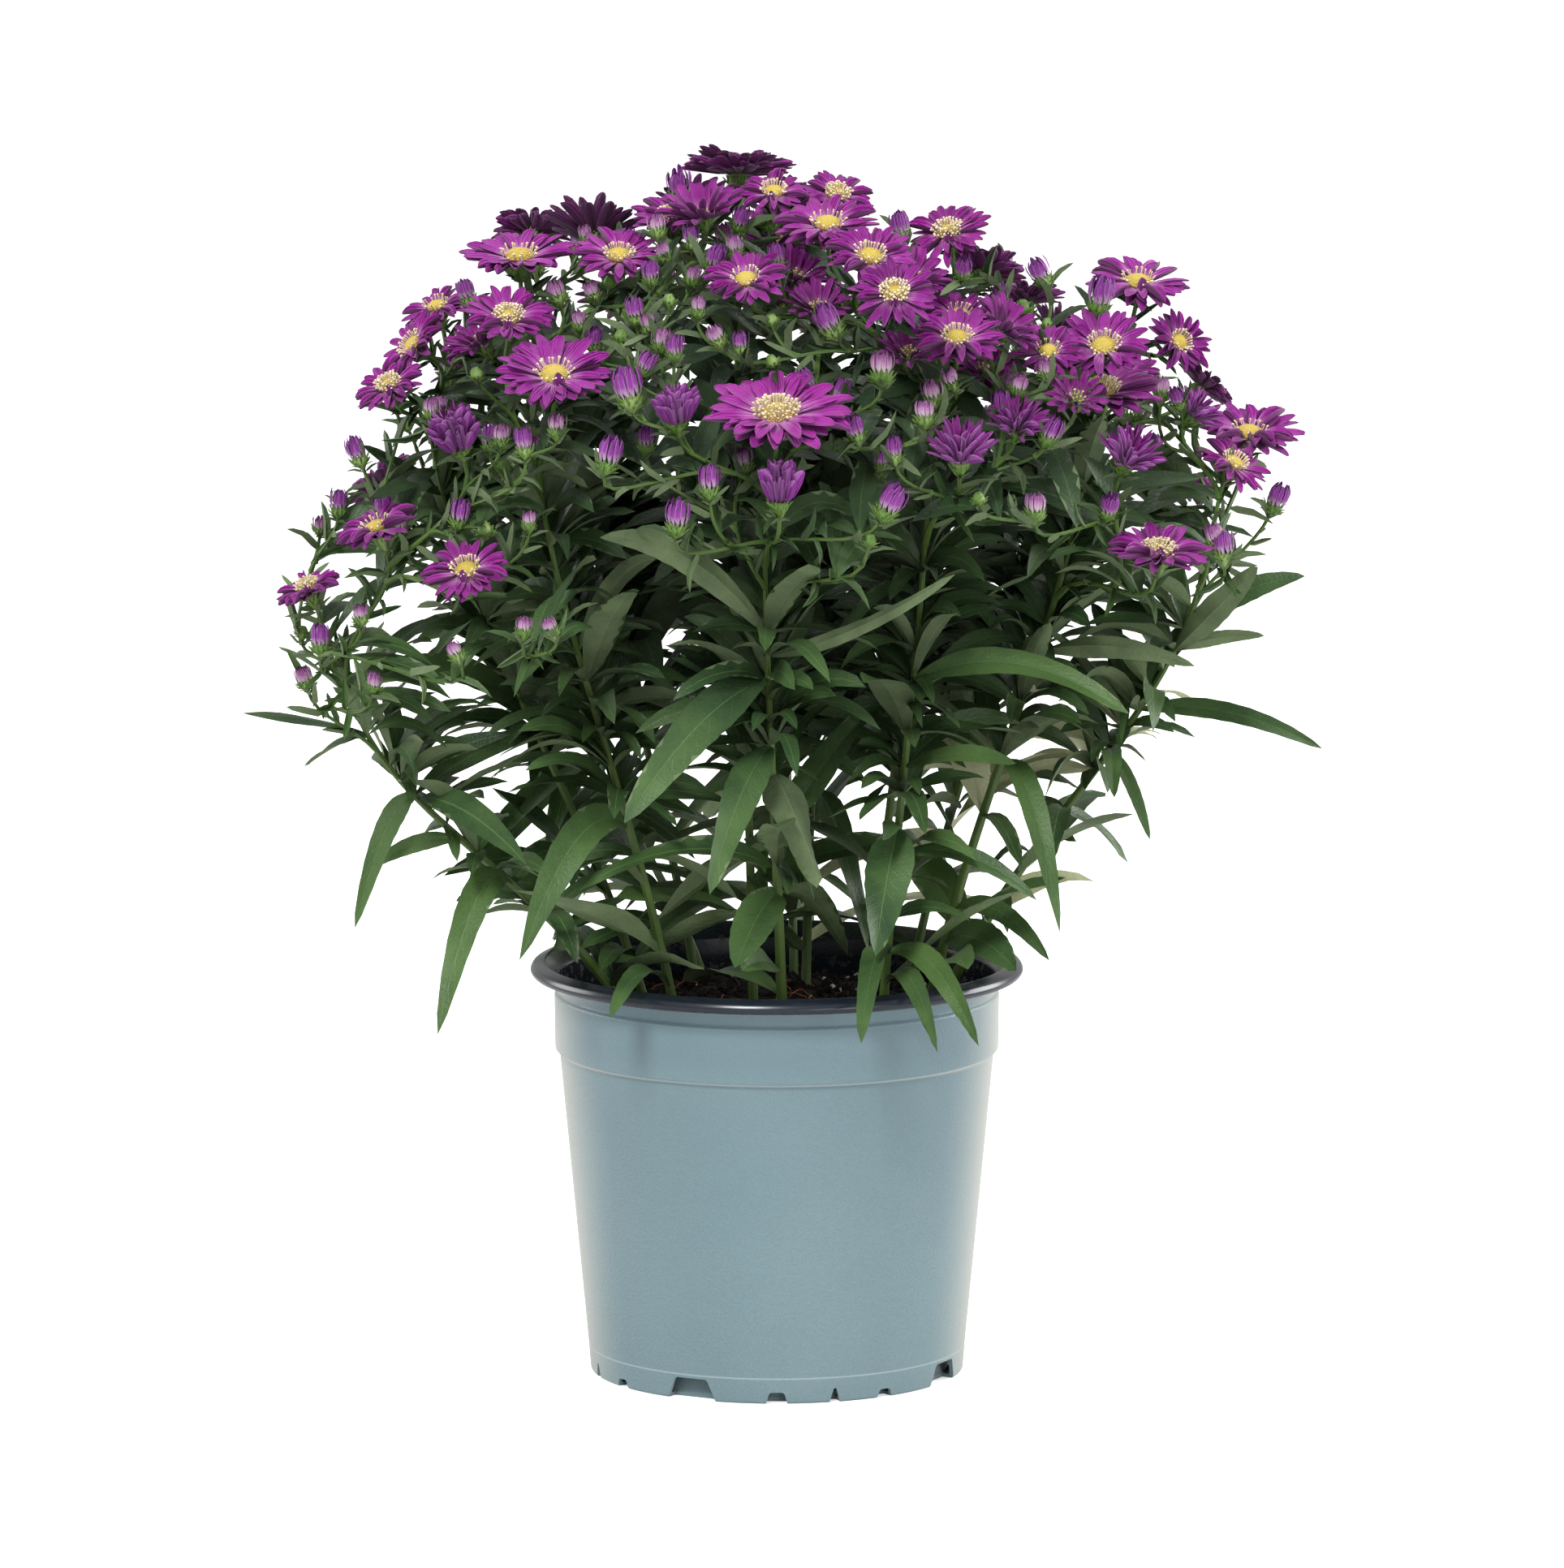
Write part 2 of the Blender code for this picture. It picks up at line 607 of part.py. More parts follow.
def place_bud(plan, row, rear, number, draw):
    """A closed bud on its own stalk."""
    across, up, inward, length = row
    bud = [(length * 0.38, length * 0.27), (length, length * 0.13)]
    for shift in BUD_SHIFTS:
        for _ in range(3):
            axis = leaning(draw.uniform(0, 30), draw.uniform(-90, 90) + (180 if rear else 0))
            end = surface_place(across, up, inward, rear, shift) - axis * length * 0.5 * MM
            branch = find_branch(plan, end, axis, bud, BUD_REACH, BUD_BRANCH, draw)
            if branch:
                keep_branch(plan, branch, f"bud {number}")
                return True
    return False


def leaf_plan(foot, tip, width, lift, roll, phase, rows, corners=4):
    """One leaf: its rib from foot to tip through a raised middle, and the way it faces."""
    along = (tip - foot).normalized()
    side = along.cross(Vector((0, 0, 1)))
    face = side.cross(along).normalized() if side.length > 0.05 else Vector((0, -1, 0))
    face = Matrix.Rotation(math.radians(roll), 3, along) @ face
    middle = foot.lerp(tip, 0.45) + Vector((0, 0, lift * MM * 2.0))
    return {"foot": foot, "middle": middle, "tip": tip, "width": width * MM, "face": face,
            "phase": phase, "rows": rows, "corners": corners, "thickness": LEAF_THICKNESS * MM}


def keep_if_clear(plan, leaf, rail_name, name):
    """Keep a leaf if it touches nothing but the stem that it grows from."""
    mesh = blade_mesh(leaf, CLEARANCE * MM)
    shape = mesh_shape(mesh)
    bpy.data.meshes.remove(mesh)
    if not plan["placed"].is_clear(shape, skip=(rail_name,)):
        return False
    plan["placed"].add(shape, name)
    plan["leaves"].append((plan["owner"][rail_name], leaf))
    return True


def leaf_feet(plan, across, up, back):
    """Places on the main stems where a leaf could start, the nearest to the one seen first."""
    feet = []
    for rail_name in [name for name in plan["rails"] if name.startswith("stem")]:
        for point in plan["rails"][rail_name][1:-1]:
            x, y, z = point / MM
            gap = math.hypot(x - across, z * math.cos(VIEW_DROP) + y * math.sin(VIEW_DROP) - up)
            feet.append((gap + 0.15 * abs(y - back), rail_name, point))
    return sorted(feet, key=lambda item: item[0])


def place_long_leaf(plan, row, number, draw):
    """A long leaf drawn from the front view, on the main stem that passes nearest to its foot."""
    across, up, tip_across, tip_up, tip_back, width, lift = row
    rows = 5 if width > 8 else 4
    for _, rail_name, foot in leaf_feet(plan, across, up, tip_back)[:14]:
        for shift in LEAF_SHIFTS:
            tip = from_front(tip_across, tip_up, tip_back + shift)
            leaf = leaf_plan(foot, tip, width, lift, draw.uniform(-35, 35), draw.uniform(0, 6), rows)
            if keep_if_clear(plan, leaf, rail_name, f"long leaf {number}"):
                return True
    return False


def rule_leaf(rail, share, turn, draw):
    """A leaf at a share of the way up a stem, towards a turn: it is longer low on the stem."""
    step = round(1 + 17 * share + draw.uniform(-1.5, 1.5))
    foot = rail[min(max(step, 1), len(rail) - 2)]
    length = LOW_LEAF[0] + (HIGH_LEAF[0] - LOW_LEAF[0]) * share
    length *= draw.uniform(0.75, 1.15)
    width = LOW_LEAF[1] + (HIGH_LEAF[1] - LOW_LEAF[1]) * share
    out = leaning(draw.uniform(50, 95) - 25 * share, turn)
    lift = length * draw.uniform(0.06, 0.16)
    rows = 4 if share < 0.5 else 3
    return leaf_plan(foot, foot + out * length * MM, width, lift, draw.uniform(-30, 30),
                     draw.uniform(0, 6), rows, 3)


def place_rule_leaves(plan, rail_name, draw):
    """Leaves round one main stem, each turned from the last by the same angle."""
    first = draw.uniform(0, 360)
    for index in range(LEAVES_PER_STEM):
        share = index / (LEAVES_PER_STEM - 1)
        for trial in range(LEAF_TRIALS):
            turn = first + index * LEAF_TURN + draw.uniform(-25, 25) * (1 + trial * 0.4)
            leaf = rule_leaf(plan["rails"][rail_name], share, turn, draw)
            if leaf["tip"].xy.length > LEAF_REACH * MM:
                continue
            if keep_if_clear(plan, leaf, rail_name, f"leaf {rail_name} {index}"):
                break


def place_stem(plan, row, index):
    """Keep one main stem. The stems come first, and pass clear of each other by their table."""
    stem = stem_plan(row, index)
    plan["stems"].append(stem)
    rail_name = f"stem {index + 1}"
    plan["rails"][rail_name] = stem["rail"]
    plan["owner"][rail_name] = stem["node"]
    points, radii = stem_points(stem)
    plan["placed"].add(sleeve_shape(points[1:], radii[1:]), rail_name)


def place_all(plan, placer, rows, rear, first_number, draw):
    """Place each row of a table, and say which found no room."""
    for number, row in enumerate(rows):
        if not placer(plan, row, rear, first_number + number, draw):
            print(placer.__name__, "found no room for", row)


def make_plan():
    """Where every stem, bloom, bud and leaf goes, each clear of those before it."""
    draw = random.Random(SEED)
    plan = {"stems": [], "rails": {}, "owner": {}, "placed": Clearances(), "branches": [],
            "blooms": [], "openings": [], "leaves": []}
    outside, inside = pot_profile()
    rim = [ring_points(*spot) for spot in outside[:7] + inside[-3:]]
    plan["placed"].add(ring_shape(rim, False), "rim")
    mix = [(2, MIX_TOP - 60), (2, MIX_TOP + 4), (BODY_TOP_RADIUS, MIX_TOP), (BODY_TOP_RADIUS, MIX_TOP - 60)]
    plan["placed"].add(ring_shape([ring_points(*spot) for spot in mix]), "mix")
    for index, row in enumerate(STEMS):
        place_stem(plan, row, index)
    place_all(plan, place_bloom, BLOOMS, False, 0, draw)
    place_all(plan, place_bloom, REAR_BLOOMS, True, 100, draw)
    place_all(plan, place_opening, OPENING, False, 0, draw)
    place_all(plan, place_bud, BUDS, False, 0, draw)
    place_all(plan, place_bud, REAR_BUDS, True, 100, draw)
    for number, row in enumerate(LONG_LEAVES):
        if not place_long_leaf(plan, row, number, draw):
            print("no room for the long leaf", row)
    for index in range(len(STEMS)):
        place_rule_leaves(plan, f"stem {index + 1}", draw)
    return plan


# The pieces


def pot_profile():
    """The pot's section: down the outside to the middle of the floor, and back up the inside."""
    outside = [(80.0, RIM_HEIGHT), (84.0, RIM_HEIGHT - 1.4), (RIM_RADIUS, RIM_HEIGHT - 3.4),
               (84.0, RIM_HEIGHT - 5.0), (NECK_RADIUS + 0.8, RIM_HEIGHT - 6.4),
               (NECK_RADIUS, COLLAR_TOP + 1.0),
               (COLLAR_RADIUS, COLLAR_TOP - 0.2), (COLLAR_RADIUS - 0.2, COLLAR_FOOT),
               (BODY_TOP_RADIUS, COLLAR_FOOT - 1.2), (CREASE_RADIUS, CREASE_HEIGHT),
               (FOOT_RADIUS, 0.0), (FOOT_RADIUS - FOOT_RING, 0.0),
               (FOOT_RADIUS - FOOT_RING - 0.8, FLOOR_HEIGHT), (0.0, FLOOR_HEIGHT)]
    inside = [(0.0, FLOOR_HEIGHT + WALL), (FOOT_RADIUS - FOOT_RING, FLOOR_HEIGHT + WALL),
              (FOOT_RADIUS - FOOT_RING + 1.0, WALL), (FOOT_RADIUS - WALL - 0.2, WALL),
              (CREASE_RADIUS - WALL, CREASE_HEIGHT), (BODY_TOP_RADIUS - WALL, COLLAR_FOOT - 1.0),
              (NECK_RADIUS - WALL, COLLAR_TOP + 0.2), (NECK_RADIUS - 0.6, RIM_HEIGHT - 5.0)]
    return outside, inside


def turned_object(name, profile, steps, group):
    """A closed section on the axis, turned once round it."""
    mesh = bpy.data.meshes.new(name)
    points = [(radius * MM, 0, height * MM) for radius, height in profile]
    edges = [(index, index + 1) for index in range(len(points) - 1)]
    mesh.from_pydata(points, edges, [])
    item = bpy.data.objects.new(name, mesh)
    group.objects.link(item)
    screw = item.modifiers.new("Turn", "SCREW")
    screw.axis = "Z"
    screw.steps = steps
    screw.render_steps = steps
    screw.use_merge_vertices = True
    screw.merge_threshold = 0.00005
    return item


def apply_modifiers(item):
    """Keep an object's evaluated mesh as its own mesh."""
    bpy.context.view_layer.update()
    depsgraph = bpy.context.evaluated_depsgraph_get()
    mesh = bpy.data.meshes.new_from_object(item.evaluated_get(depsgraph))
    item.modifiers.clear()
    old = item.data
    item.data = mesh
    bpy.data.meshes.remove(old)


def boolean(item, group, operation, solver):
    """Join to, or cut from, an object everything in a collection, which is then emptied."""
    modifier = item.modifiers.new("Join", "BOOLEAN")
    modifier.operand_type = "COLLECTION"
    modifier.collection = group
    modifier.operation = operation
    modifier.solver = solver
    apply_modifiers(item)
    for other in list(group.objects):
        bpy.data.objects.remove(other)


def merge_flat_faces(item):
    """Join faces that lie in one plane, and split the result into triangles."""
    shape = bmesh.new()
    shape.from_mesh(item.data)
    bmesh.ops.dissolve_limit(shape, angle_limit=FLAT_ANGLE, verts=shape.verts, edges=shape.edges)
    bmesh.ops.triangulate(shape, faces=shape.faces)
    shape.to_mesh(item.data)
    shape.free()


def add_cutter(group, mesh, matrix):
    item = bpy.data.objects.new("cutter", mesh)
    item.matrix_world = matrix
    item.hide_render = True
    item.display_type = "WIRE"
    group.objects.link(item)


def block_mesh(width_low, width_high, deep, high):
    """A block that stands on the floor, narrower or pointed at its top."""
    shape = bmesh.new()
    bmesh.ops.create_cube(shape, size=1.0)
    for vertex in shape.verts:
        width = width_low if vertex.co.z < 0 else width_high
        vertex.co = Vector((vertex.co.x * width, vertex.co.y * deep, (vertex.co.z + 0.5) * high)) * MM
    mesh = bpy.data.meshes.new("block")
    shape.to_mesh(mesh)
    shape.free()
    return mesh


def drain_mesh():
    """A cutter for one hole in the raised floor."""
    shape = bmesh.new()
    bmesh.ops.create_cone(shape, cap_ends=True, segments=6, radius1=DRAIN_HOLE_RADIUS * MM,
                          radius2=DRAIN_HOLE_RADIUS * MM, depth=WALL * 5 * MM)
    mesh = bpy.data.meshes.new("drain")
    shape.to_mesh(mesh)
    shape.free()
    return mesh


def make_pot(parts, cutters, colour):
    """The pot: its section turned round, with notches cut in its foot and holes in its floor."""
    outside, inside = pot_profile()
    pot = turned_object("pot", outside + inside + outside[:1], POT_STEPS, parts)
    apply_modifiers(pot)
    for quarter in range(4):
        for turn, width, top, high in NOTCH_SET:
            angle = math.radians(FIRST_NOTCH_TURN + 90 * quarter + turn)
            place = Matrix.Rotation(angle, 4, "Z") @ Matrix.Translation((0, -FOOT_RADIUS * MM, -MM))
            add_cutter(cutters, block_mesh(width, top, NOTCH_DEPTH, high + 1.0), place)
    for hole in range(DRAIN_HOLES):
        place = Matrix.Translation((DRAIN_RING_RADIUS * MM, 0, (FLOOR_HEIGHT + WALL * 0.5) * MM))
        add_cutter(cutters, drain_mesh(), Matrix.Rotation(2 * math.pi * hole / DRAIN_HOLES, 4, "Z") @ place)
    boolean(pot, cutters, "DIFFERENCE", "EXACT")
    merge_flat_faces(pot)
    finish(pot, colour)


def make_mix(parts, cutters, plan, colour):
    """The potting mix: a plug that fits the pot, rough on top, with a plain hole for each stem."""
    top = BODY_TOP_RADIUS - WALL - MIX_SIDE_GAP
    foot = CREASE_RADIUS - WALL - MIX_SIDE_GAP - 0.3
    floor = FLOOR_HEIGHT + WALL + MIX_FLOOR_GAP
    section = [(0, MIX_TOP + 2.0), (28, MIX_TOP + 1.6), (54, MIX_TOP + 0.2),
               (top, MIX_TOP - 1.6), (top - 0.1, COLLAR_FOOT - 2), (foot, floor + 1.2), (0, floor)]
    mix = turned_object("potting_mix", section, MIX_STEPS, parts)
    apply_modifiers(mix)
    for vertex in mix.data.vertices:
        if vertex.co.z > (MIX_TOP - 3) * MM:
            vertex.co.z += MIX_BUMP * MM * noise.noise(vertex.co * 70.0)
    for stem in plan["stems"]:
        below = stem["root"] + (stem["root"] - stem["rail"][0]).normalized() * HOLE_GAP * MM
        above = stem["rail"][0] + (stem["rail"][0] - stem["root"]).normalized() * 9 * MM
        wide = stem["thick"] + HOLE_GAP * MM
        add_cutter(cutters, tube_mesh([below, above], [wide, wide], 1), Matrix())
    boolean(mix, cutters, "DIFFERENCE", "MANIFOLD")
    finish(mix, colour)


def make_stem(parts, pieces, plan, stem, colour):
    """One leafy stem: its main stem with every branch, cup, bud, half-open flower and leaf on it."""
    node = stem["node"]
    item = bpy.data.objects.new(node, tube_mesh(*stem_points(stem), 1))
    parts.objects.link(item)
    meshes = [tube_mesh(branch["points"], branch["radii"]) for branch in plan["branches"]
              if branch["node"] == node]
    meshes += [blade_mesh(leaf) for owner, leaf in plan["leaves"] if owner == node]
    meshes += [bloom_mesh(radius, OPENING_DISC * MM, OPENING_PETALS, OPENING_LIFT, frame, OPENING_SINK * MM)
               for owner, frame, radius in plan["openings"] if owner == node]
    for mesh in meshes:
        pieces.objects.link(bpy.data.objects.new("piece", mesh))
    boolean(item, pieces, "UNION", "MANIFOLD")
    merge_flat_faces(item)
    finish(item, colour)


def make_bloom(parts, number, frame, radius, disc, lift_angle, colour):
    item = bpy.data.objects.new(f"bloom_{number:02d}", bloom_mesh(radius, disc, PETALS, lift_angle, frame))
    parts.objects.link(item)
    finish(item, colour)


def finish(item, colour):
    """Give a finished piece its material, and shade its gentle bends smooth."""
    item.data.materials.clear()
    item.data.materials.append(colour)
    item.data.shade_smooth()
    item.data.set_sharp_from_angle(angle=SMOOTH_ANGLE)


def make_colour(name, colour, roughness):
    material = bpy.data.materials.new(name)
    material.use_nodes = True
    shader = material.node_tree.nodes["Principled BSDF"]
    shader.inputs["Base Color"].default_value = (*colour, 1.0)
    shader.inputs["Roughness"].default_value = roughness
    shader.inputs["Metallic"].default_value = 0.0
    material.diffuse_color = (*colour, 1.0)
    return material


def make_collection(name):
    group = bpy.data.collections.new(name)
    bpy.context.scene.collection.children.link(group)
    return group


def main():
    for item in list(bpy.data.objects):
        bpy.data.objects.remove(item)
    parts = make_collection("potted_aster")
    cutters = make_collection("cutters")
    pieces = make_collection("pieces")
    plan = make_plan()
    make_pot(parts, cutters, make_colour("pot plastic", (0.23, 0.35, 0.39), 0.42))
    make_mix(parts, cutters, plan, make_colour("potting mix", (0.02, 0.015, 0.012), 0.95))
    green = make_colour("leaf and stem", (0.05, 0.12, 0.045), 0.55)
    for stem in plan["stems"]:
        make_stem(parts, pieces, plan, stem, green)
    purple = make_colour("ray petals", (0.36, 0.02, 0.38), 0.5)
    for index, bloom in enumerate(plan["blooms"]):
        make_bloom(parts, index + 1, *bloom, purple)
    print(len(plan["blooms"]), "blooms,", len(plan["branches"]), "branches,", len(plan["leaves"]), "leaves")


main()
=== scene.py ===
import json
import math
import random

import bmesh
import bpy
import numpy as np
from mathutils import Matrix, Vector, noise
from mathutils.bvhtree import BVHTree

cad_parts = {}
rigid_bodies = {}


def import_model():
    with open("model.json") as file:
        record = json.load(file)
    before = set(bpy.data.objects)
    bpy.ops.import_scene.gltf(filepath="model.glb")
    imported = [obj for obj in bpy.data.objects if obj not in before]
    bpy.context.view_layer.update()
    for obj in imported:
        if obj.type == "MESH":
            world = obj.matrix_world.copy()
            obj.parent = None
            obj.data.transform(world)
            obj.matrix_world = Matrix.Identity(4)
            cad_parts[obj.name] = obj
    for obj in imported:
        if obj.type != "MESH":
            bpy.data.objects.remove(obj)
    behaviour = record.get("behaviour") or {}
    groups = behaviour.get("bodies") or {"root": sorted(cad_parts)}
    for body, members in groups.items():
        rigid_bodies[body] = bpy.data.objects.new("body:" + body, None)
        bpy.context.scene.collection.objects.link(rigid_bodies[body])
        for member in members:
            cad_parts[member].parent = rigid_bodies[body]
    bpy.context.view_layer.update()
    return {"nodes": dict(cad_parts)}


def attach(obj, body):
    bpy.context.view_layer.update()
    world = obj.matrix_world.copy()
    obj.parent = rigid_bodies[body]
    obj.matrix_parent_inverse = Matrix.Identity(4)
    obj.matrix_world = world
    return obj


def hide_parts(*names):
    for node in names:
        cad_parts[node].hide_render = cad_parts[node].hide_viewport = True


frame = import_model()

# A potted aster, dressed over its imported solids. Lengths in the tables are in millimetres.
mm = 0.001
goldenTurn = 137.5
print("frame loaded:", len(frame["nodes"]), "nodes")

# The crown is half an egg in front of the pot's axis and half behind it, seen from a little above.
crown = {"halfWidth": 172.0, "halfDepth": 140.0, "middle": 235.0, "rise": 176.0, "viewDrop": math.radians(9.0)}
pot = {
    "rimRadius": 85.0, "rimHeight": 143.0, "wall": 1.2, "neckRadius": 75.4, "collarRadius": 76.6,
    "collarTop": 131.6, "collarFoot": 112.4, "bodyTopRadius": 74.8, "creaseRadius": 65.0,
    "creaseHeight": 8.8, "footRadius": 64.3, "footRing": 6.0, "floorHeight": 6.8,
    "notches": [(0.0, 19.0, 12.0, 7.6), (27.0, 8.0, 5.0, 4.0), (45.0, 4.6, 1.0, 5.0), (62.0, 7.0, 4.2, 3.0)],
    "notchDepth": 10.0, "firstNotchTurn": -27.0, "drainHoles": 4, "drainRadius": 4.0, "drainRing": 38.0,
    "turnSteps": 144,
}
soil = {"top": 127.0, "sideGap": 0.5, "floorGap": 0.3, "bump": 2.2, "rings": 34, "spokes": 110}


def fromFront(across, up, back):
    # a place in metres, from how far across and up it is seen and its real depth
    height = (up - back * math.sin(crown["viewDrop"])) / math.cos(crown["viewDrop"])
    return Vector((across, back, height)) * mm


def crownDepth(across, up):
    left = 1.0 - (across / crown["halfWidth"]) ** 2 - ((up - crown["middle"]) / crown["rise"]) ** 2
    return crown["halfDepth"] * math.sqrt(max(left, 0.0))


def leaning(tilt, turn):
    # the direction that leans from upright by tilt, towards turn (0 is to the viewer)
    tilt, turn = math.radians(tilt), math.radians(turn)
    return Vector((math.sin(tilt) * math.sin(turn), -math.sin(tilt) * math.cos(turn), math.cos(tilt)))


def finer(points):
    fine = []
    for first, second in zip(points, points[1:]):
        fine += [first.lerp(second, share / 4) for share in range(4)]
    return fine + [points[-1]]


def bezier(first, second, third, last, count):
    points = []
    for step in range(count + 1):
        t = step / count
        s = 1.0 - t
        points.append(first * s**3 + second * 3 * s * s * t + third * 3 * s * t * t + last * t**3)
    return points


def uprightFrame(place, axis, spin=0.0):
    turn = axis.to_track_quat("Z", "Y").to_matrix().to_4x4()
    return Matrix.Translation(place) @ turn @ Matrix.Rotation(spin, 4, "Z")


# What has been placed so far, so that nothing new grows through it.
class Clearances:
    def __init__(self):
        self.pieces = []

    def add(self, shape, name):
        self.pieces.append((*shapeBox(shape), BVHTree.FromPolygons(*shape), name))

    def isClear(self, shape, skip=()):
        low, high = shapeBox(shape)
        tree = None
        for otherLow, otherHigh, other, name in self.pieces:
            if name in skip or any(low[i] > otherHigh[i] or high[i] < otherLow[i] for i in range(3)):
                continue
            tree = tree or BVHTree.FromPolygons(*shape)
            if tree.overlap(other):
                return False
        return True


def shapeBox(shape):
    points = shape[0]
    low = [min(point[i] for point in points) for i in range(3)]
    high = [max(point[i] for point in points) for i in range(3)]
    return low, high


def ringPoints(radius, height, steps=24):
    turns = [2 * math.pi * step / steps for step in range(steps)]
    return [Vector((radius * math.cos(turn), radius * math.sin(turn), height)) * mm for turn in turns]


def ringShape(rings, capped=True):
    sides = len(rings[0])
    points = [point for ring in rings for point in ring]
    faces = []
    for row in range(len(rings) - 1):
        for side in range(sides):
            a = row * sides + side
            b = row * sides + (side + 1) % sides
            faces.append((a, b, b + sides, a + sides))
    if capped:
        faces.append(tuple(range(sides)))
        faces.append(tuple(range(len(points) - sides, len(points))))
    return points, faces


def sleeveShape(points, radii, sides=6):
    rings = []
    for index, point in enumerate(points):
        along = points[min(index + 1, len(points) - 1)] - points[max(index - 1, 0)]
        reach = (radii[index] + leafSizes["clearance"] * mm) / math.cos(math.pi / sides)
        stand = uprightFrame(point, along)
        rings.append([stand @ corner for corner in ringPoints(reach / mm, 0, sides)])
    return ringShape(rings)


def dishShape(stand, radius, lift, sides=12):
    rings = []
    for share, height in ((0.2, -0.4), (1.0, lift - 2.2), (1.0, lift + 2.4), (0.3, 5.2)):
        reach = radius * share + leafSizes["clearance"] * mm
        rings.append([stand @ point for point in ringPoints(reach / mm, height, sides)])
    return ringShape(rings)


# Main stems: foot across and back, head across, up and back, thickness.
stemSizes = {"runs": 5, "tip": 7.0, "rootDepth": 22.0}
stemRows = [
    (-52, -12, -146, 236, -30, 4.6), (-46, 14, -118, 318, 4, 4.2), (-34, -36, -82, 318, -62, 4.4),
    (-28, 40, -72, 345, 52, 4.2), (2, -48, -4, 282, -84, 5.0), (-8, -8, -14, 372, -16, 4.4),
    (10, 22, 16, 340, 66, 4.4), (6, 56, 2, 282, 118, 4.2), (36, -34, 52, 318, -66, 4.4),
    (32, 6, 56, 352, -6, 4.4), (52, -8, 106, 318, -34, 4.8), (46, 34, 92, 318, 62, 4.2),
    (58, 12, 146, 276, -6, 4.8), (-26, 60, -92, 278, 98, 4.2),
]


def stemPlan(row, index):
    foot = Vector((row[0], row[1], soil["top"])) * mm
    head = fromFront(row[2], row[3], row[4])
    length = (head - foot).length
    outward = Vector((head.x - foot.x, head.y - foot.y, 0))
    start = (head - foot).normalized() + Vector((0, 0, 0.25))
    finish = Vector((0, 0, 1)) + outward * 2.0
    second, third = foot + start.normalized() * length * 0.4, head - finish.normalized() * length * 0.3
    controls = (foot, second, third, head)
    return {"node": f"leafy_stem_{index + 1:02d}", "rail": finer(bezier(*controls, stemSizes["runs"])),
            "fine": bezier(*controls, stemSizes["runs"] * 4), "thick": row[5] * mm * 0.5,
            "root": foot - start.normalized() * stemSizes["rootDepth"] * mm}


def stemPoints(stem):
    rail, runs = stem["rail"], stemSizes["runs"]
    shares = [1.0] + [1.0 - 0.6 * run / runs for run in range(runs + 1)]
    axis = (rail[-1] - rail[-3]).normalized()
    points = [stem["root"]] + rail[::4] + [rail[-1] + axis * stemSizes["tip"] * mm]
    return points, [stem["thick"] * share for share in shares] + [branchSizes["flowerRadius"] * mm]


# Branches, and how far a head may move along the view to find room. A bud has its length and its width at
# two heights, as shares.
branchSizes = {
    "runs": 2, "flowerRadius": 0.8, "budRadius": 0.7, "bloomReach": (24, 150), "openingReach": (16, 110),
    "budReach": (9, 70), "bloomShifts": (0, 6, -6, 12, -12, 18, -18, 26, -26, 34, -34),
    "budShifts": (0, 5, -5, 10, -10, 16, -16, 24), "widestBend": 80, "choices": 60, "trials": 3, "sway": 4.0,
    "bud": ((0.38, 0.27), (1.0, 0.13)), "budLeans": (0, 30), "budTurns": (-90, 90),
}


def branchControls(rail, step, end, axis, sway):
    start = rail[step]
    along = (rail[step] - rail[step - 1]).normalized()
    reach = (end - start).length
    out = (along * 0.6 + (end - start).normalized() * 0.4).normalized()
    return start, start + out * reach * 0.35 + sway, end - axis * reach * 0.3 + sway, end


def branchChoices(rails, end, nearest, farthest):
    choices = []
    for railName, rail in rails.items():
        for step in range(len(rail) // 3, len(rail)):
            away = end - rail[step]
            reach = away.length
            if not nearest * mm < reach < farthest * mm:
                continue
            along = (rail[step] - rail[step - 1]).normalized()
            bend = math.degrees(along.angle(away))
            if bend > branchSizes["widestBend"] or away.z < 0.0:
                continue
            choices.append((reach / mm + bend * 0.6, railName, step))
    return sorted(choices)


def findBranch(plan, end, axis, tail, limits, thick, draw):
    runs = branchSizes["runs"]
    radii = [thick * mm * 0.72] + [thick * mm] * runs + [radius * mm for _, radius in tail]
    for _, railName, step in branchChoices(plan["rails"], end, *limits)[:branchSizes["choices"]]:
        for trial in range(branchSizes["trials"]):
            sway = Vector([draw.uniform(-1, 1) for _ in range(3)]) * branchSizes["sway"] * mm * trial
            controls = branchControls(plan["rails"][railName], step, end, axis, sway)
            points = bezier(*controls, runs)
            points += [end + axis * reach * mm for reach, _ in tail]
            shape = sleeveShape(points, radii)
            if plan["placed"].isClear(shape, skip=(railName,)):
                return {"node": plan["owner"][railName], "points": points, "controls": controls,
                        "shape": shape, "rail": railName, "step": step, "axis": axis, "end": end}
    return None


def surfacePlace(across, up, inward, rear, shift=0.0):
    depth = crownDepth(across, up)
    back = depth - inward if rear else inward - depth
    return fromFront(across, up, back + shift)


def keepBranch(plan, branch, name, kind, size):
    runs = branchSizes["runs"]
    plan["owner"][name] = branch["node"]
    plan["placed"].add(branch["shape"], name)
    plan["rails"][name] = finer(branch["points"][:runs + 1])
    # the drawn branch follows the same curve more closely, from its parent's smooth course
    start, second, third, last = branch["controls"]
    shifted = plan["fineRails"][branch["rail"]][branch["step"]]
    plan["fineRails"][name] = bezier(shifted, second + shifted - start, third, last, runs * 4)
    branch.update(name=name, kind=kind, size=size)
    plan["branches"].append(branch)


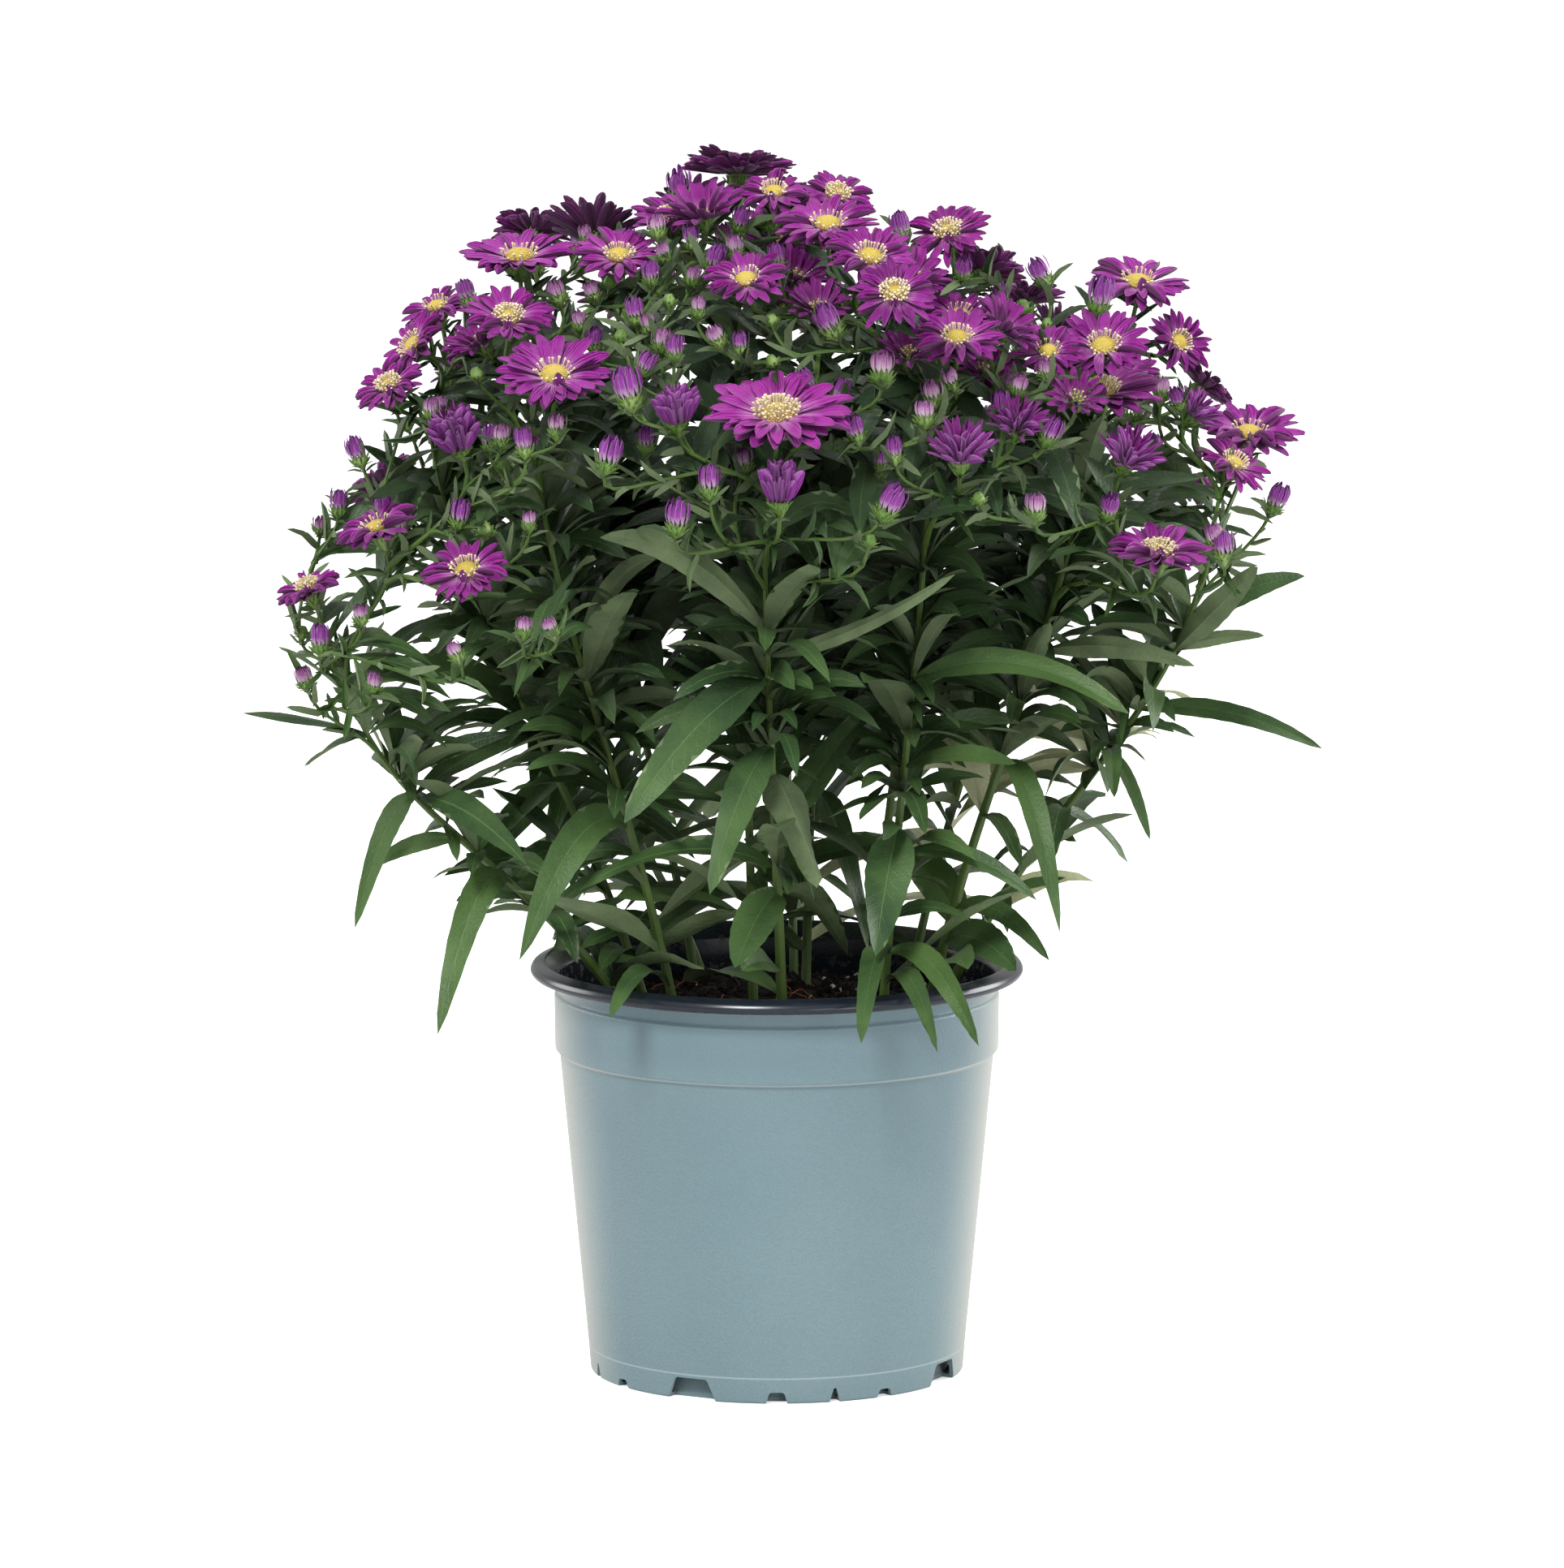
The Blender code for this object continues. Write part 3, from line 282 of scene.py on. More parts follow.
# Open blooms as the viewer sees them: across, up, behind the crown's surface, lean from upright,
# turn of that lean (0 is to the viewer, 90 to the right), width.
bloomSizes = {"hubHeight": 2.4, "discShare": 0.17, "smallestDisc": 3.6, "cup": [(3.0, 0.55), (6.0, 0.66)],
              "cupLength": 6.0, "cupGap": 0.3, "lifts": (4, 16), "riseShare": 0.85}
bloomRows = [
    (0, 322, 0, 21, 0, 48), (-87, 378, 10, 14, -10, 38), (-53, 377, 10, 26, 0, 30), (-90, 356, 4, 29, 0, 31),
    (-74, 336, 0, 31, 0, 37), (-122, 349, 12, 55, -65, 28), (-130, 334, 6, 34, -35, 26),
    (-116, 363, 30, 24, -40, 26), (-84, 390, 40, 34, 180, 30), (-35, 391, 22, 20, -10, 28),
    (-13, 409, 34, 10, 170, 38), (-1, 399, 6, 29, 0, 25), (20, 399, 20, 34, 20, 26), (17, 387, 4, 23, 0, 34),
    (31, 375, 2, 30, 10, 32), (39, 362, 0, 43, 0, 29), (61, 357, 22, 36, 20, 26), (60, 348, 0, 30, 0, 31),
    (58, 386, 16, 34, -20, 29), (-10, 368, 4, 30, -10, 28), (70, 374, 44, 34, 150, 28),
    (84, 364, 52, 16, 180, 28), (91, 345, 10, 38, 0, 24), (110, 347, 4, 38, 0, 33), (109, 332, 0, 13, 0, 41),
    (124, 372, 30, 19, 10, 36), (137, 352, 20, 58, 35, 24), (146, 338, 46, 46, 100, 26),
    (162, 320, 16, 20, 20, 36), (155, 309, 0, 34, 50, 27), (128, 277, 2, 17, 20, 35),
    (-134, 286, 8, 26, -60, 29), (-103, 271, 4, 34, -20, 30), (-158, 266, 6, 26, -60, 25),
]
rearBloomRows = [
    (-104, 346, 4, 36, -150, 32), (-52, 368, 2, 32, 180, 34), (4, 366, 0, 34, 180, 38),
    (56, 360, 2, 30, 165, 33), (104, 342, 4, 38, 140, 31), (-78, 318, 0, 46, -165, 30),
    (28, 320, 0, 44, 175, 34), (92, 306, 0, 46, 150, 29), (-136, 304, 6, 46, -125, 28),
    (138, 306, 8, 42, 120, 30),
]


def placeBloom(plan, row, rear, number, draw):
    across, up, inward, tilt, turn, width = row
    axis = leaning(tilt, turn)
    radius = width * 0.5 * mm
    disc = max(width * bloomSizes["discShare"], bloomSizes["smallestDisc"]) * mm
    liftAngle = draw.uniform(*bloomSizes["lifts"])
    spin = draw.uniform(0, 1)
    rise = (radius - disc) / mm * math.tan(math.radians(liftAngle)) * bloomSizes["riseShare"]
    cup = [(reach, disc / mm * share) for reach, share in bloomSizes["cup"]]
    for shift in branchSizes["bloomShifts"]:
        place = surfacePlace(across, up, inward, rear, shift)
        stand = uprightFrame(place, axis, spin)
        dish = dishShape(stand, radius, rise)
        end = place - axis * (bloomSizes["cupLength"] + bloomSizes["cupGap"]) * mm
        branch = None
        if plan["placed"].isClear(dish):
            branch = findBranch(plan, end, axis, cup, branchSizes["bloomReach"], branchSizes["flowerRadius"],
                                draw)
        if branch:
            keepBranch(plan, branch, f"stalk {number}", "bloom", disc)
            plan["placed"].add(dish, f"bloom {number}")
            plan["blooms"].append({"stand": stand, "radius": radius, "disc": disc, "lift": liftAngle})
            return True
    return False


# Half-open flowers, with the same columns as the blooms.
openingSizes = {"height": 9.0, "footShare": 0.5, "sides": 8, "cup": [(3.0, 2.6), (6.5, 3.4)]}
openingRows = [
    (117, 309, 2, 34, 40, 19), (61, 309, 0, 24, 0, 20), (-106, 314, 2, 40, -20, 18), (-33, 322, 6, 26, -10, 14),
    (1, 295, 0, 12, 0, 15), (80, 320, 8, 36, 10, 16), (142, 327, 14, 44, 60, 14),
]


def placeOpening(plan, row, rear, number, draw):
    across, up, inward, tilt, turn, width = row
    axis = leaning(tilt, turn)
    radius = width * 0.5 * mm
    for shift in branchSizes["bloomShifts"]:
        place = surfacePlace(across, up, inward, rear, shift)
        course = [place, place + axis * openingSizes["height"] * mm]
        head = sleeveShape(course, [radius * openingSizes["footShare"], radius], openingSizes["sides"])
        branch = None
        if plan["placed"].isClear(head):
            end = place - axis * bloomSizes["cupLength"] * mm
            branch = findBranch(plan, end, axis, openingSizes["cup"], branchSizes["openingReach"],
                                branchSizes["flowerRadius"], draw)
        if branch:
            keepBranch(plan, branch, f"opening {number}", "opening", radius)
            plan["placed"].add(head, f"opening head {number}")
            return True
    return False


# Buds: across, up, behind the crown's surface, length.
budRows = [
    (-56, 309, 0, 11), (-49, 331, 2, 13), (-33, 288, 0, 11), (-22, 300, 2, 10), (-84, 314, 4, 9),
    (-47, 358, 6, 9), (-105, 367, 16, 9), (-33, 403, 16, 11), (18, 354, 8, 11), (10, 334, 14, 10),
    (26, 318, 4, 9), (39, 311, 6, 8), (37, 293, 0, 12), (91, 318, 4, 10), (75, 327, 6, 9),
    (110, 366, 22, 12), (111, 293, 4, 9), (171, 298, 10, 10), (151, 280, 8, 10), (42, 388, 16, 9),
    (-154, 249, 0, 9), (-73, 320, 0, 9), (35, 339, 0, 12), (49, 324, 0, 10), (58, 336, 6, 9),
    (81, 334, 2, 9), (86, 293, 0, 11), (-84, 253, 0, 8), (-75, 253, 0, 8), (-107, 245, 0, 8),
    (-160, 237, 4, 9), (-140, 258, 8, 8), (-135, 235, 0, 8), (-38, 379, 10, 8), (-62, 366, 12, 8),
    (-20, 350, 8, 9), (-116, 327, 6, 8), (-161, 254, 14, 8), (-101, 340, 6, 8), (-2, 357, 6, 8),
    (31, 283, 0, 8), (67, 297, 0, 8),
]
rearBudRows = [
    (-70, 346, 4, 10), (-20, 350, 2, 9), (34, 346, 2, 10), (80, 332, 4, 9), (-108, 318, 4, 10),
    (-34, 318, 0, 9), (66, 304, 0, 10),
]


def placeBud(plan, row, rear, number, draw):
    across, up, inward, length = row
    bud = [(length * along, length * wide) for along, wide in branchSizes["bud"]]
    for shift in branchSizes["budShifts"]:
        for _ in range(branchSizes["trials"]):
            lean, turn = draw.uniform(*branchSizes["budLeans"]), draw.uniform(*branchSizes["budTurns"])
            axis = leaning(lean, turn + (180 if rear else 0))
            end = surfacePlace(across, up, inward, rear, shift) - axis * length * 0.5 * mm
            branch = findBranch(plan, end, axis, bud, branchSizes["budReach"], branchSizes["budRadius"], draw)
            if branch:
                keepBranch(plan, branch, f"bud {number}", "bud", length * mm)
                return True
    return False


# Long leaves as the viewer sees them: foot across and up, tip across, up and back, width, lift.
leafSizes = {
    "thickness": 1.3, "wave": 0.10, "fold": 0.22, "ribSteps": 24, "clearance": 0.35, "perStem": 6,
    "low": (68.0, 15.0), "high": (46.0, 10.0), "reach": 168.0, "trials": 14, "feet": 14,
    "shifts": (0, -8, 8, -16, 16, -26, 26), "roll": 35,
    # a leaf by rule: its place on the stem, its length, its lean from upright, its lift and its roll
    "steps": 17, "stepSpread": 1.5, "lengths": (0.75, 1.15), "leans": (50, 95), "leanFall": 25,
    "lifts": (0.06, 0.16), "ruleRoll": 30, "phases": (0, 6),
}
longLeafRows = [
    (-2, 238, -51, 188, -122, 15, 8), (5, 211, -23, 164, -118, 13, 8), (-30, 187, -86, 142, -96, 13, 18),
    (-125, 196, -144, 152, -34, 8, 11), (-106, 186, -141, 171, -18, 6, 4), (-88, 165, -115, 116, -62, 11, 20),
    (-84, 158, -110, 161, -10, 6, 4), (-133, 214, -182, 225, -30, 6, 2), (-133, 215, -161, 207, -44, 6, 2),
    (-147, 235, -171, 248, -4, 6, 2), (-84, 230, -139, 239, -66, 12, 6), (-9, 256, -59, 283, -132, 10, 10),
    (-42, 256, -96, 256, -108, 9, 8), (8, 247, 59, 271, -120, 6, -4), (60, 236, 118, 224, -92, 11, 12),
    (118, 227, 186, 213, -36, 7, 6), (105, 224, 114, 196, -60, 7, 6), (80, 206, 96, 151, -70, 9, 16),
    (38, 210, 80, 208, -104, 7, 4), (119, 210, 128, 182, -10, 5, 4), (51, 171, 88, 162, -70, 7, 8),
    (66, 158, 93, 141, -48, 7, 8), (38, 138, 68, 113, -92, 9, 12), (36, 136, 54, 111, -98, 8, 14),
    (22, 138, 28, 115, -100, 10, 12), (20, 141, -12, 138, -92, 9, 4), (-24, 132, -56, 123, -92, 9, 10),
    (47, 188, 33, 143, -84, 16, 4), (-8, 206, 15, 167, -88, 19, 2), (52, 152, 82, 137, -52, 14, 6),
    (-6, 166, -14, 139, -90, 15, 4), (-62, 152, -76, 145, -40, 9, 4), (142, 272, 180, 272, -20, 9, 4),
    (128, 252, 163, 275, -52, 10, 0), (130, 250, 167, 252, -30, 5, 2), (106, 244, 141, 241, -64, 8, 4),
    (-112, 300, -140, 316, -34, 6, 0), (-116, 306, -136, 297, -56, 6, 0), (124, 316, 144, 305, -30, 6, 2),
    (-60, 180, -104, 158, 110, 13, 10), (-8, 214, -26, 188, 146, 14, 6), (34, 190, 62, 166, 128, 13, 10),
    (70, 215, 118, 210, 98, 12, 8), (4, 158, 12, 146, 112, 12, 6),
]


def leafPlan(foot, tip, width, lift, roll, phase, rows, corners=4):
    along = (tip - foot).normalized()
    side = along.cross(Vector((0, 0, 1)))
    face = side.cross(along).normalized() if side.length > 0.05 else Vector((0, -1, 0))
    face = Matrix.Rotation(math.radians(roll), 3, along) @ face
    middle = foot.lerp(tip, 0.45) + Vector((0, 0, lift * mm * 2.0))
    return {"foot": foot, "middle": middle, "tip": tip, "width": width * mm, "face": face,
            "phase": phase, "rows": rows, "corners": corners, "thickness": leafSizes["thickness"] * mm}


# A leaf's plain test shape: a long ball of few sides laid along its rib.
def bladeShape(leaf, grow):
    shape = bmesh.new()
    bmesh.ops.create_uvsphere(shape, u_segments=leaf["corners"], v_segments=leaf["rows"], radius=1.0)
    if leaf["corners"] == 3:
        shape.transform(Matrix.Rotation(math.radians(30), 4, "Z"))
    places = bladePlaces(shape, leaf, grow)
    if leaf["corners"] == 4:
        for face in [face for face in shape.faces if len(face.verts) == 4]:
            edgeCorner = max((v for v in face.verts if abs(v.co.x) > abs(v.co.y)), key=lambda v: v.co.z)
            ribCorner = min((v for v in face.verts if abs(v.co.y) > abs(v.co.x)), key=lambda v: v.co.z)
            bmesh.utils.face_split(face, edgeCorner, ribCorner)
    for vertex, place in places.items():
        vertex.co = place
    bmesh.ops.triangulate(shape, faces=shape.faces)
    shape.verts.index_update()
    points = [vertex.co.copy() for vertex in shape.verts]
    faces = [tuple(vertex.index for vertex in face.verts) for face in shape.faces]
    shape.free()
    return points, faces


def bladePlaces(shape, leaf, grow):
    foot, middle, tip, steps = leaf["foot"], leaf["middle"], leaf["tip"], leafSizes["ribSteps"]
    rib = bezier(foot, foot.lerp(middle, 0.66), tip.lerp(middle, 0.66), tip, steps)
    places = {}
    for vertex in shape.verts:
        share = 0.5 - 0.5 * vertex.co.z
        step = min(int(share * steps), steps - 1)
        along = (rib[step + 1] - rib[step]).normalized()
        side = along.cross(leaf["face"]).normalized()
        face = side.cross(along)
        place = rib[step].lerp(rib[step + 1], share * steps - step)
        if abs(vertex.co.x) > abs(vertex.co.y):
            edge = math.copysign(1.0, vertex.co.x)
            half = leaf["width"] * 0.5 * math.sin(math.pi * share**0.8) ** 0.7 + grow
            wave = leaf["width"] * leafSizes["wave"] * math.sin(7.0 * share + leaf["phase"] + edge)
            place += side * edge * half + face * (wave + half * leafSizes["fold"])
        elif abs(vertex.co.z) < 0.99:
            place += face * math.copysign(leaf["thickness"] * 0.5 + grow, vertex.co.y)
        places[vertex] = place
    return places


def keepIfClear(plan, leaf, railName, step, name):
    shape = bladeShape(leaf, leafSizes["clearance"] * mm)
    if not plan["placed"].isClear(shape, skip=(railName,)):
        return False
    plan["placed"].add(shape, name)
    leaf.update(rail=railName, step=step, name=name)
    plan["leaves"].append(leaf)
    return True


def leafFeet(plan, across, up, back):
    feet = []
    for railName in [name for name in plan["rails"] if name.startswith("stem")]:
        for index, point in enumerate(plan["rails"][railName][1:-1]):
            x, y, z = point / mm
            seen = z * math.cos(crown["viewDrop"]) + y * math.sin(crown["viewDrop"])
            gap = math.hypot(x - across, seen - up)
            feet.append((gap + 0.15 * abs(y - back), railName, point, index + 1))
    return sorted(feet, key=lambda item: item[0])


def placeLongLeaf(plan, row, number, draw):
    across, up, tipAcross, tipUp, tipBack, width, lift = row
    rows = 5 if width > 8 else 4
    for _, railName, foot, step in leafFeet(plan, across, up, tipBack)[:leafSizes["feet"]]:
        for shift in leafSizes["shifts"]:
            tip = fromFront(tipAcross, tipUp, tipBack + shift)
            roll, phase = draw.uniform(-leafSizes["roll"], leafSizes["roll"]), draw.uniform(*leafSizes["phases"])
            leaf = leafPlan(foot, tip, width, lift, roll, phase, rows)
            if keepIfClear(plan, leaf, railName, step, f"long leaf {number}"):
                return True
    return False


def ruleLeaf(rail, share, turn, draw):
    step = round(1 + leafSizes["steps"] * share + draw.uniform(-1, 1) * leafSizes["stepSpread"])
    step = min(max(step, 1), len(rail) - 2)
    foot = rail[step]
    low, high = leafSizes["low"], leafSizes["high"]
    length = low[0] + (high[0] - low[0]) * share
    length *= draw.uniform(*leafSizes["lengths"])
    width = low[1] + (high[1] - low[1]) * share
    out = leaning(draw.uniform(*leafSizes["leans"]) - leafSizes["leanFall"] * share, turn)
    lift = length * draw.uniform(*leafSizes["lifts"])
    rows = 4 if share < 0.5 else 3
    tip = foot + out * length * mm
    roll, phase = draw.uniform(-leafSizes["ruleRoll"], leafSizes["ruleRoll"]), draw.uniform(*leafSizes["phases"])
    return leafPlan(foot, tip, width, lift, roll, phase, rows, 3), step


def placeRuleLeaves(plan, railName, draw):
    first = draw.uniform(0, 360)
    for index in range(leafSizes["perStem"]):
        share = index / (leafSizes["perStem"] - 1)
        for trial in range(leafSizes["trials"]):
            turn = first + index * goldenTurn + draw.uniform(-25, 25) * (1 + trial * 0.4)
            leaf, step = ruleLeaf(plan["rails"][railName], share, turn, draw)
            if leaf["tip"].xy.length > leafSizes["reach"] * mm:
                continue
            if keepIfClear(plan, leaf, railName, step, f"leaf {railName} {index}"):
                break


def potProfile():
    rim, wall, foot, crease = pot["rimHeight"], pot["wall"], pot["footRadius"], pot["creaseRadius"]
    neck, collar, top, low = pot["neckRadius"], pot["collarRadius"], pot["collarTop"], pot["collarFoot"]
    body, ring, floor, bend = pot["bodyTopRadius"], pot["footRing"], pot["floorHeight"], pot["creaseHeight"]
    outside = [(80.0, rim), (84.0, rim - 1.4), (pot["rimRadius"], rim - 3.4), (84.0, rim - 5.0),
               (neck + 0.8, rim - 6.4), (neck, top + 1.0), (collar, top - 0.2), (collar - 0.2, low),
               (body, low - 1.2), (crease, bend), (foot, 0.0), (foot - ring, 0.0), (foot - ring - 0.8, floor),
               (0.0, floor)]
    inside = [(0.0, floor + wall), (foot - ring, floor + wall), (foot - ring + 1.0, wall),
              (foot - wall - 0.2, wall), (crease - wall, bend), (body - wall, low - 1.0),
              (neck - wall, top + 0.2), (neck - 0.6, rim - 5.0)]
    return outside, inside


def makePlan():
    draw = random.Random(17)
    plan = {"stems": [], "rails": {}, "fineRails": {}, "owner": {}, "placed": Clearances(), "branches": [],
            "blooms": [], "leaves": []}
    outside, inside = potProfile()
    rim = [ringPoints(*spot) for spot in outside[:7] + inside[-3:]]
    plan["placed"].add(ringShape(rim, False), "rim")
    top, body = soil["top"], pot["bodyTopRadius"]
    mix = [(2, top - 60), (2, top + 4), (body, top), (body, top - 60)]
    plan["placed"].add(ringShape([ringPoints(*spot) for spot in mix]), "mix")
    for index, row in enumerate(stemRows):
        stem = stemPlan(row, index)
        name = f"stem {index + 1}"
        plan["stems"].append(stem)
        for kind, value in (("rails", "rail"), ("fineRails", "fine"), ("owner", "node")):
            plan[kind][name] = stem[value]
        points, radii = stemPoints(stem)
        plan["placed"].add(sleeveShape(points[1:], radii[1:]), name)
    for placer, rows, rear, first in ((placeBloom, bloomRows, False, 0), (placeBloom, rearBloomRows, True, 100),
                                      (placeOpening, openingRows, False, 0), (placeBud, budRows, False, 0),
                                      (placeBud, rearBudRows, True, 100)):
        for number, row in enumerate(rows):
            if not placer(plan, row, rear, first + number, draw):
                print(placer.__name__, "found no room for", row)
    for number, row in enumerate(longLeafRows):
        if not placeLongLeaf(plan, row, number, draw):
            print("no room for the long leaf", row)
    for index in range(len(stemRows)):
        placeRuleLeaves(plan, f"stem {index + 1}", draw)
    return plan


plan = makePlan()
print("plan made:", len(plan["blooms"]), "blooms,", len(plan["branches"]), "branches,",
      len(plan["leaves"]), "leaves")

# Extra leaves and buds fill the crown. They grow where nothing else does, and leave its rim open. A kind
# of leaf has its count for each stem, its lengths and widths, and its leans from upright above and below
# openBelow.
fillSizes = {
    "trials": 24, "clearance": 0.1, "seed": 41, "branchShare": 0.5, "halfWidth": 146.0, "halfDepth": 122.0,
    "topRise": 146.0, "lowRise": 128.0,
    "broad": (44, (42.0, 78.0), (8.0, 13.0), ((35, 100), (78, 138))),
    "rear": (34, (24.0, 50.0), (8.0, 14.0), ((20, 100), (60, 120))),
    "crown": (48, (18.0, 40.0), (6.0, 10.5), ((20, 110), (20, 110))),
    "inner": (11, (30.0, 52.0), (9.0, 14.0), ((40, 110), (40, 110))),
    "small": (82, (16.0, 42.0), (4.4, 9.0), ((25, 105), (70, 130))),
    "openBelow": 205.0, "openShares": {"left": 0.78, "middle": 0.95, "right": 0.9}, "openWide": 60.0,
    "frontBefore": 20.0, "frontLength": 0.62, "frontWidth": 0.62, "rearFrom": (5.0, 235.0),
    "crownAbove": 285.0, "innerBehind": 10.0, "innerHeights": (238.0, 330.0), "seenBefore": 30.0,
    "edgeOn": 0.2, "underShare": 0.3, "lifts": (0.08, 0.24), "rolls": (-45, 45),
    # pale leaves: how many, and right of, above and below what
    "sunlitShare": 0.5, "sunlitPlace": (58.0, 130.0, 235.0),
    # buds, and the first numbers of the fading heads, the fill buds and the crowding buds
    "buds": 130, "budReach": (9, 42), "budPlaces": (-160, 160), "budHeights": (284, 396),
    "budLengths": (7.0, 10.5), "frontBuds": (5, 30), "rearBuds": (2, 16), "budMargin": 8,
    "firstFading": 100, "firstBud": 500, "firstCrowdBud": 700,
    # how the long leaves turn to the viewer, and those that show their paler side
    "turnBefore": 40.0, "turnShares": (0.9, 0.65, 0.4, 0.2, 0.0), "undersides": (11, 12, 13, 28, 33, 34, 35),
}


def insideCrown(place):
    x, y, z = place / mm
    up = z * math.cos(crown["viewDrop"]) + y * math.sin(crown["viewDrop"])
    rise = fillSizes["topRise" if up > crown["middle"] else "lowRise"]
    spread = (x / fillSizes["halfWidth"]) ** 2 + (y / fillSizes["halfDepth"]) ** 2
    return spread + ((up - crown["middle"]) / rise) ** 2 < 1 and z > soil["top"] + 6


viewer = Vector((0.0, -1.0, 0.35)).normalized()
# Half-open and fading flowers between the blooms, with the same columns as openingRows.
fadingRows = [
    (-1, 385, 22, 30, 0, 22), (6, 371, 16, 40, 30, 20), (-25, 392, 26, 20, -30, 24), (2, 396, 44, 30, 160, 28),
    (-28, 396, 42, 30, -160, 26), (-62, 387, 40, 30, 180, 30), (46, 371, 26, 40, 60, 22),
    (76, 353, 24, 40, 60, 22), (-100, 350, 26, 40, -60, 20), (96, 355, 36, 40, 120, 22),
    (118, 341, 22, 40, 60, 20), (70, 340, 20, 40, 0, 18), (14, 360, 24, 30, 0, 18),
    (100, 330, 16, 40, 0, 16), (44, 345, 24, 30, 0, 16),
]
# Small buds that crowd between them, with the same columns as budRows.
crowdRows = [
    (-74, 366, 8, 9), (-61, 349, 4, 8), (-36, 364, 6, 8), (-21, 376, 10, 9), (-14, 381, 12, 9),
    (-28, 371, 10, 8), (-42, 371, 12, 8), (-52, 352, 6, 8), (-34, 345, 4, 8), (-26, 360, 6, 8),
    (-66, 356, 6, 8), (-12, 347, 6, 7), (-2, 343, 4, 8), (-44, 340, 2, 8), (-70, 345, 4, 8),
    (-40, 388, 14, 9), (-48, 382, 14, 8), (-56, 371, 10, 8),
]


# The long leaves that the viewer sees turn their faces to the viewer where there is room.
def turnLongLeaves(plan):
    stiff = []
    for leaf in plan["leaves"]:
        if leaf["corners"] != 4 or leaf["tip"].y > fillSizes["turnBefore"] * mm:
            continue
        number = int(leaf["name"].split()[-1])
        toward = viewer * (-1 if number in fillSizes["undersides"] else 1)
        along = (leaf["tip"] - leaf["foot"]).normalized()
        plain = leaf["face"] * (1 if leaf["face"].dot(toward) > 0 else -1)
        for share in fillSizes["turnShares"]:
            mixed = plain * (1 - share) + toward * share
            leaf["face"] = (mixed - along * mixed.dot(along)).normalized()
            shape = bladeShape(leaf, fillSizes["clearance"] * mm)
            if share == 0.0 or plan["placed"].isClear(shape, skip=(leaf["rail"], leaf["name"])):
                plan["placed"].add(shape, leaf["name"])
                stiff += [number] * (share < 0.4)
                break
    print("long leaves that keep their turn:", stiff)


def addFadingHeads(plan):
    draw, first = random.Random(fillSizes["seed"]), fillSizes["firstFading"]
    return sum(placeOpening(plan, row, False, first + number, draw) for number, row in enumerate(fadingRows))


def addFillBuds(plan):
    draw, first = random.Random(fillSizes["seed"]), fillSizes["firstCrowdBud"]
    branchSizes["budReach"] = fillSizes["budReach"]
    count = sum(placeBud(plan, row, False, first + number, draw) for number, row in enumerate(crowdRows))
    for number in range(fillSizes["buds"]):
        across, up = draw.uniform(*fillSizes["budPlaces"]), draw.uniform(*fillSizes["budHeights"])
        rear = draw.random() < 0.5
        inward = draw.uniform(*fillSizes["rearBuds" if rear else "frontBuds"])
        if crownDepth(across, up) > inward + fillSizes["budMargin"]:
            row = across, up, inward, draw.uniform(*fillSizes["budLengths"])
            count += placeBud(plan, row, rear, fillSizes["firstBud"] + number, draw)
    return count


def addFillLeaves(plan, kind):
    draw, count = random.Random(fillSizes["seed"]), 0
    perStem, lengths, widths, leans = fillSizes[kind]
    for index in range(len(stemRows)):
        stemName = f"stem {index + 1}"
        node = plan["owner"][stemName]
        branches = [name for name in plan["rails"] if plan["owner"][name] == node and name != stemName]
        for number in range(perStem):
            for _ in range(fillSizes["trials"]):
                onBranch = branches and kind in ("small", "crown") and draw.random() < fillSizes["branchShare"]
                railName = draw.choice(branches) if onBranch else stemName
                rail = plan["rails"][railName]
                step = 1 + int((len(rail) - 2) * draw.random() ** 0.7)
                share = draw.random()
                length, width = (low + (high - low) * share for low, high in (lengths, widths))
                foot = rail[step]
                isLow = foot.z < fillSizes["openBelow"] * mm
                if kind == "broad" and not isLow and foot.y < fillSizes["frontBefore"] * mm:
                    length, width = length * fillSizes["frontLength"], width * fillSizes["frontWidth"]
                out = leaning(draw.uniform(*leans[isLow]), draw.uniform(0, 360))
                tip = foot + out * length * mm
                middle = abs(tip.x) < fillSizes["openWide"] * mm
                side = "middle" if middle else "left" if tip.x < 0 else "right"
                sparse = isLow and draw.random() < fillSizes["openShares"][side]
                if sparse or not insideCrown(tip):
                    continue
                behind, above = fillSizes["rearFrom"]
                if kind == "rear" and (foot.y < behind * mm or foot.z < above * mm):
                    continue
                if kind == "crown" and foot.z < fillSizes["crownAbove"] * mm:
                    continue
                low, high = fillSizes["innerHeights"]
                behind = foot.y > 0 and tip.y > fillSizes["innerBehind"] * mm
                if kind == "inner" and not (behind and low < foot.z / mm < high):
                    continue
                lift = length * draw.uniform(*fillSizes["lifts"])
                roll, phase = draw.uniform(*fillSizes["rolls"]), draw.uniform(*leafSizes["phases"])
                leaf = leafPlan(foot, tip, width, lift, roll, phase, 4, 3)
                # most leaves on the viewer's side show their upper face
                shown = leaf["face"].dot(viewer)
                edgeOn, seen = abs(shown) < fillSizes["edgeOn"], foot.y < fillSizes["seenBefore"] * mm
                if seen and (edgeOn or (shown < 0 and draw.random() > fillSizes["underShare"])):
                    continue
                shape = bladeShape(leaf, fillSizes["clearance"] * mm)
                # the leaves in the dark middle may touch others
                if kind == "inner" or plan["placed"].isClear(shape, skip=(railName,)):
                    plan["placed"].add(shape, f"{kind} {index} {number}")
                    leaf.update(rail=railName, step=step, fill=kind)
                    plan["leaves"].append(leaf)
                    count += 1
                    break
    return count


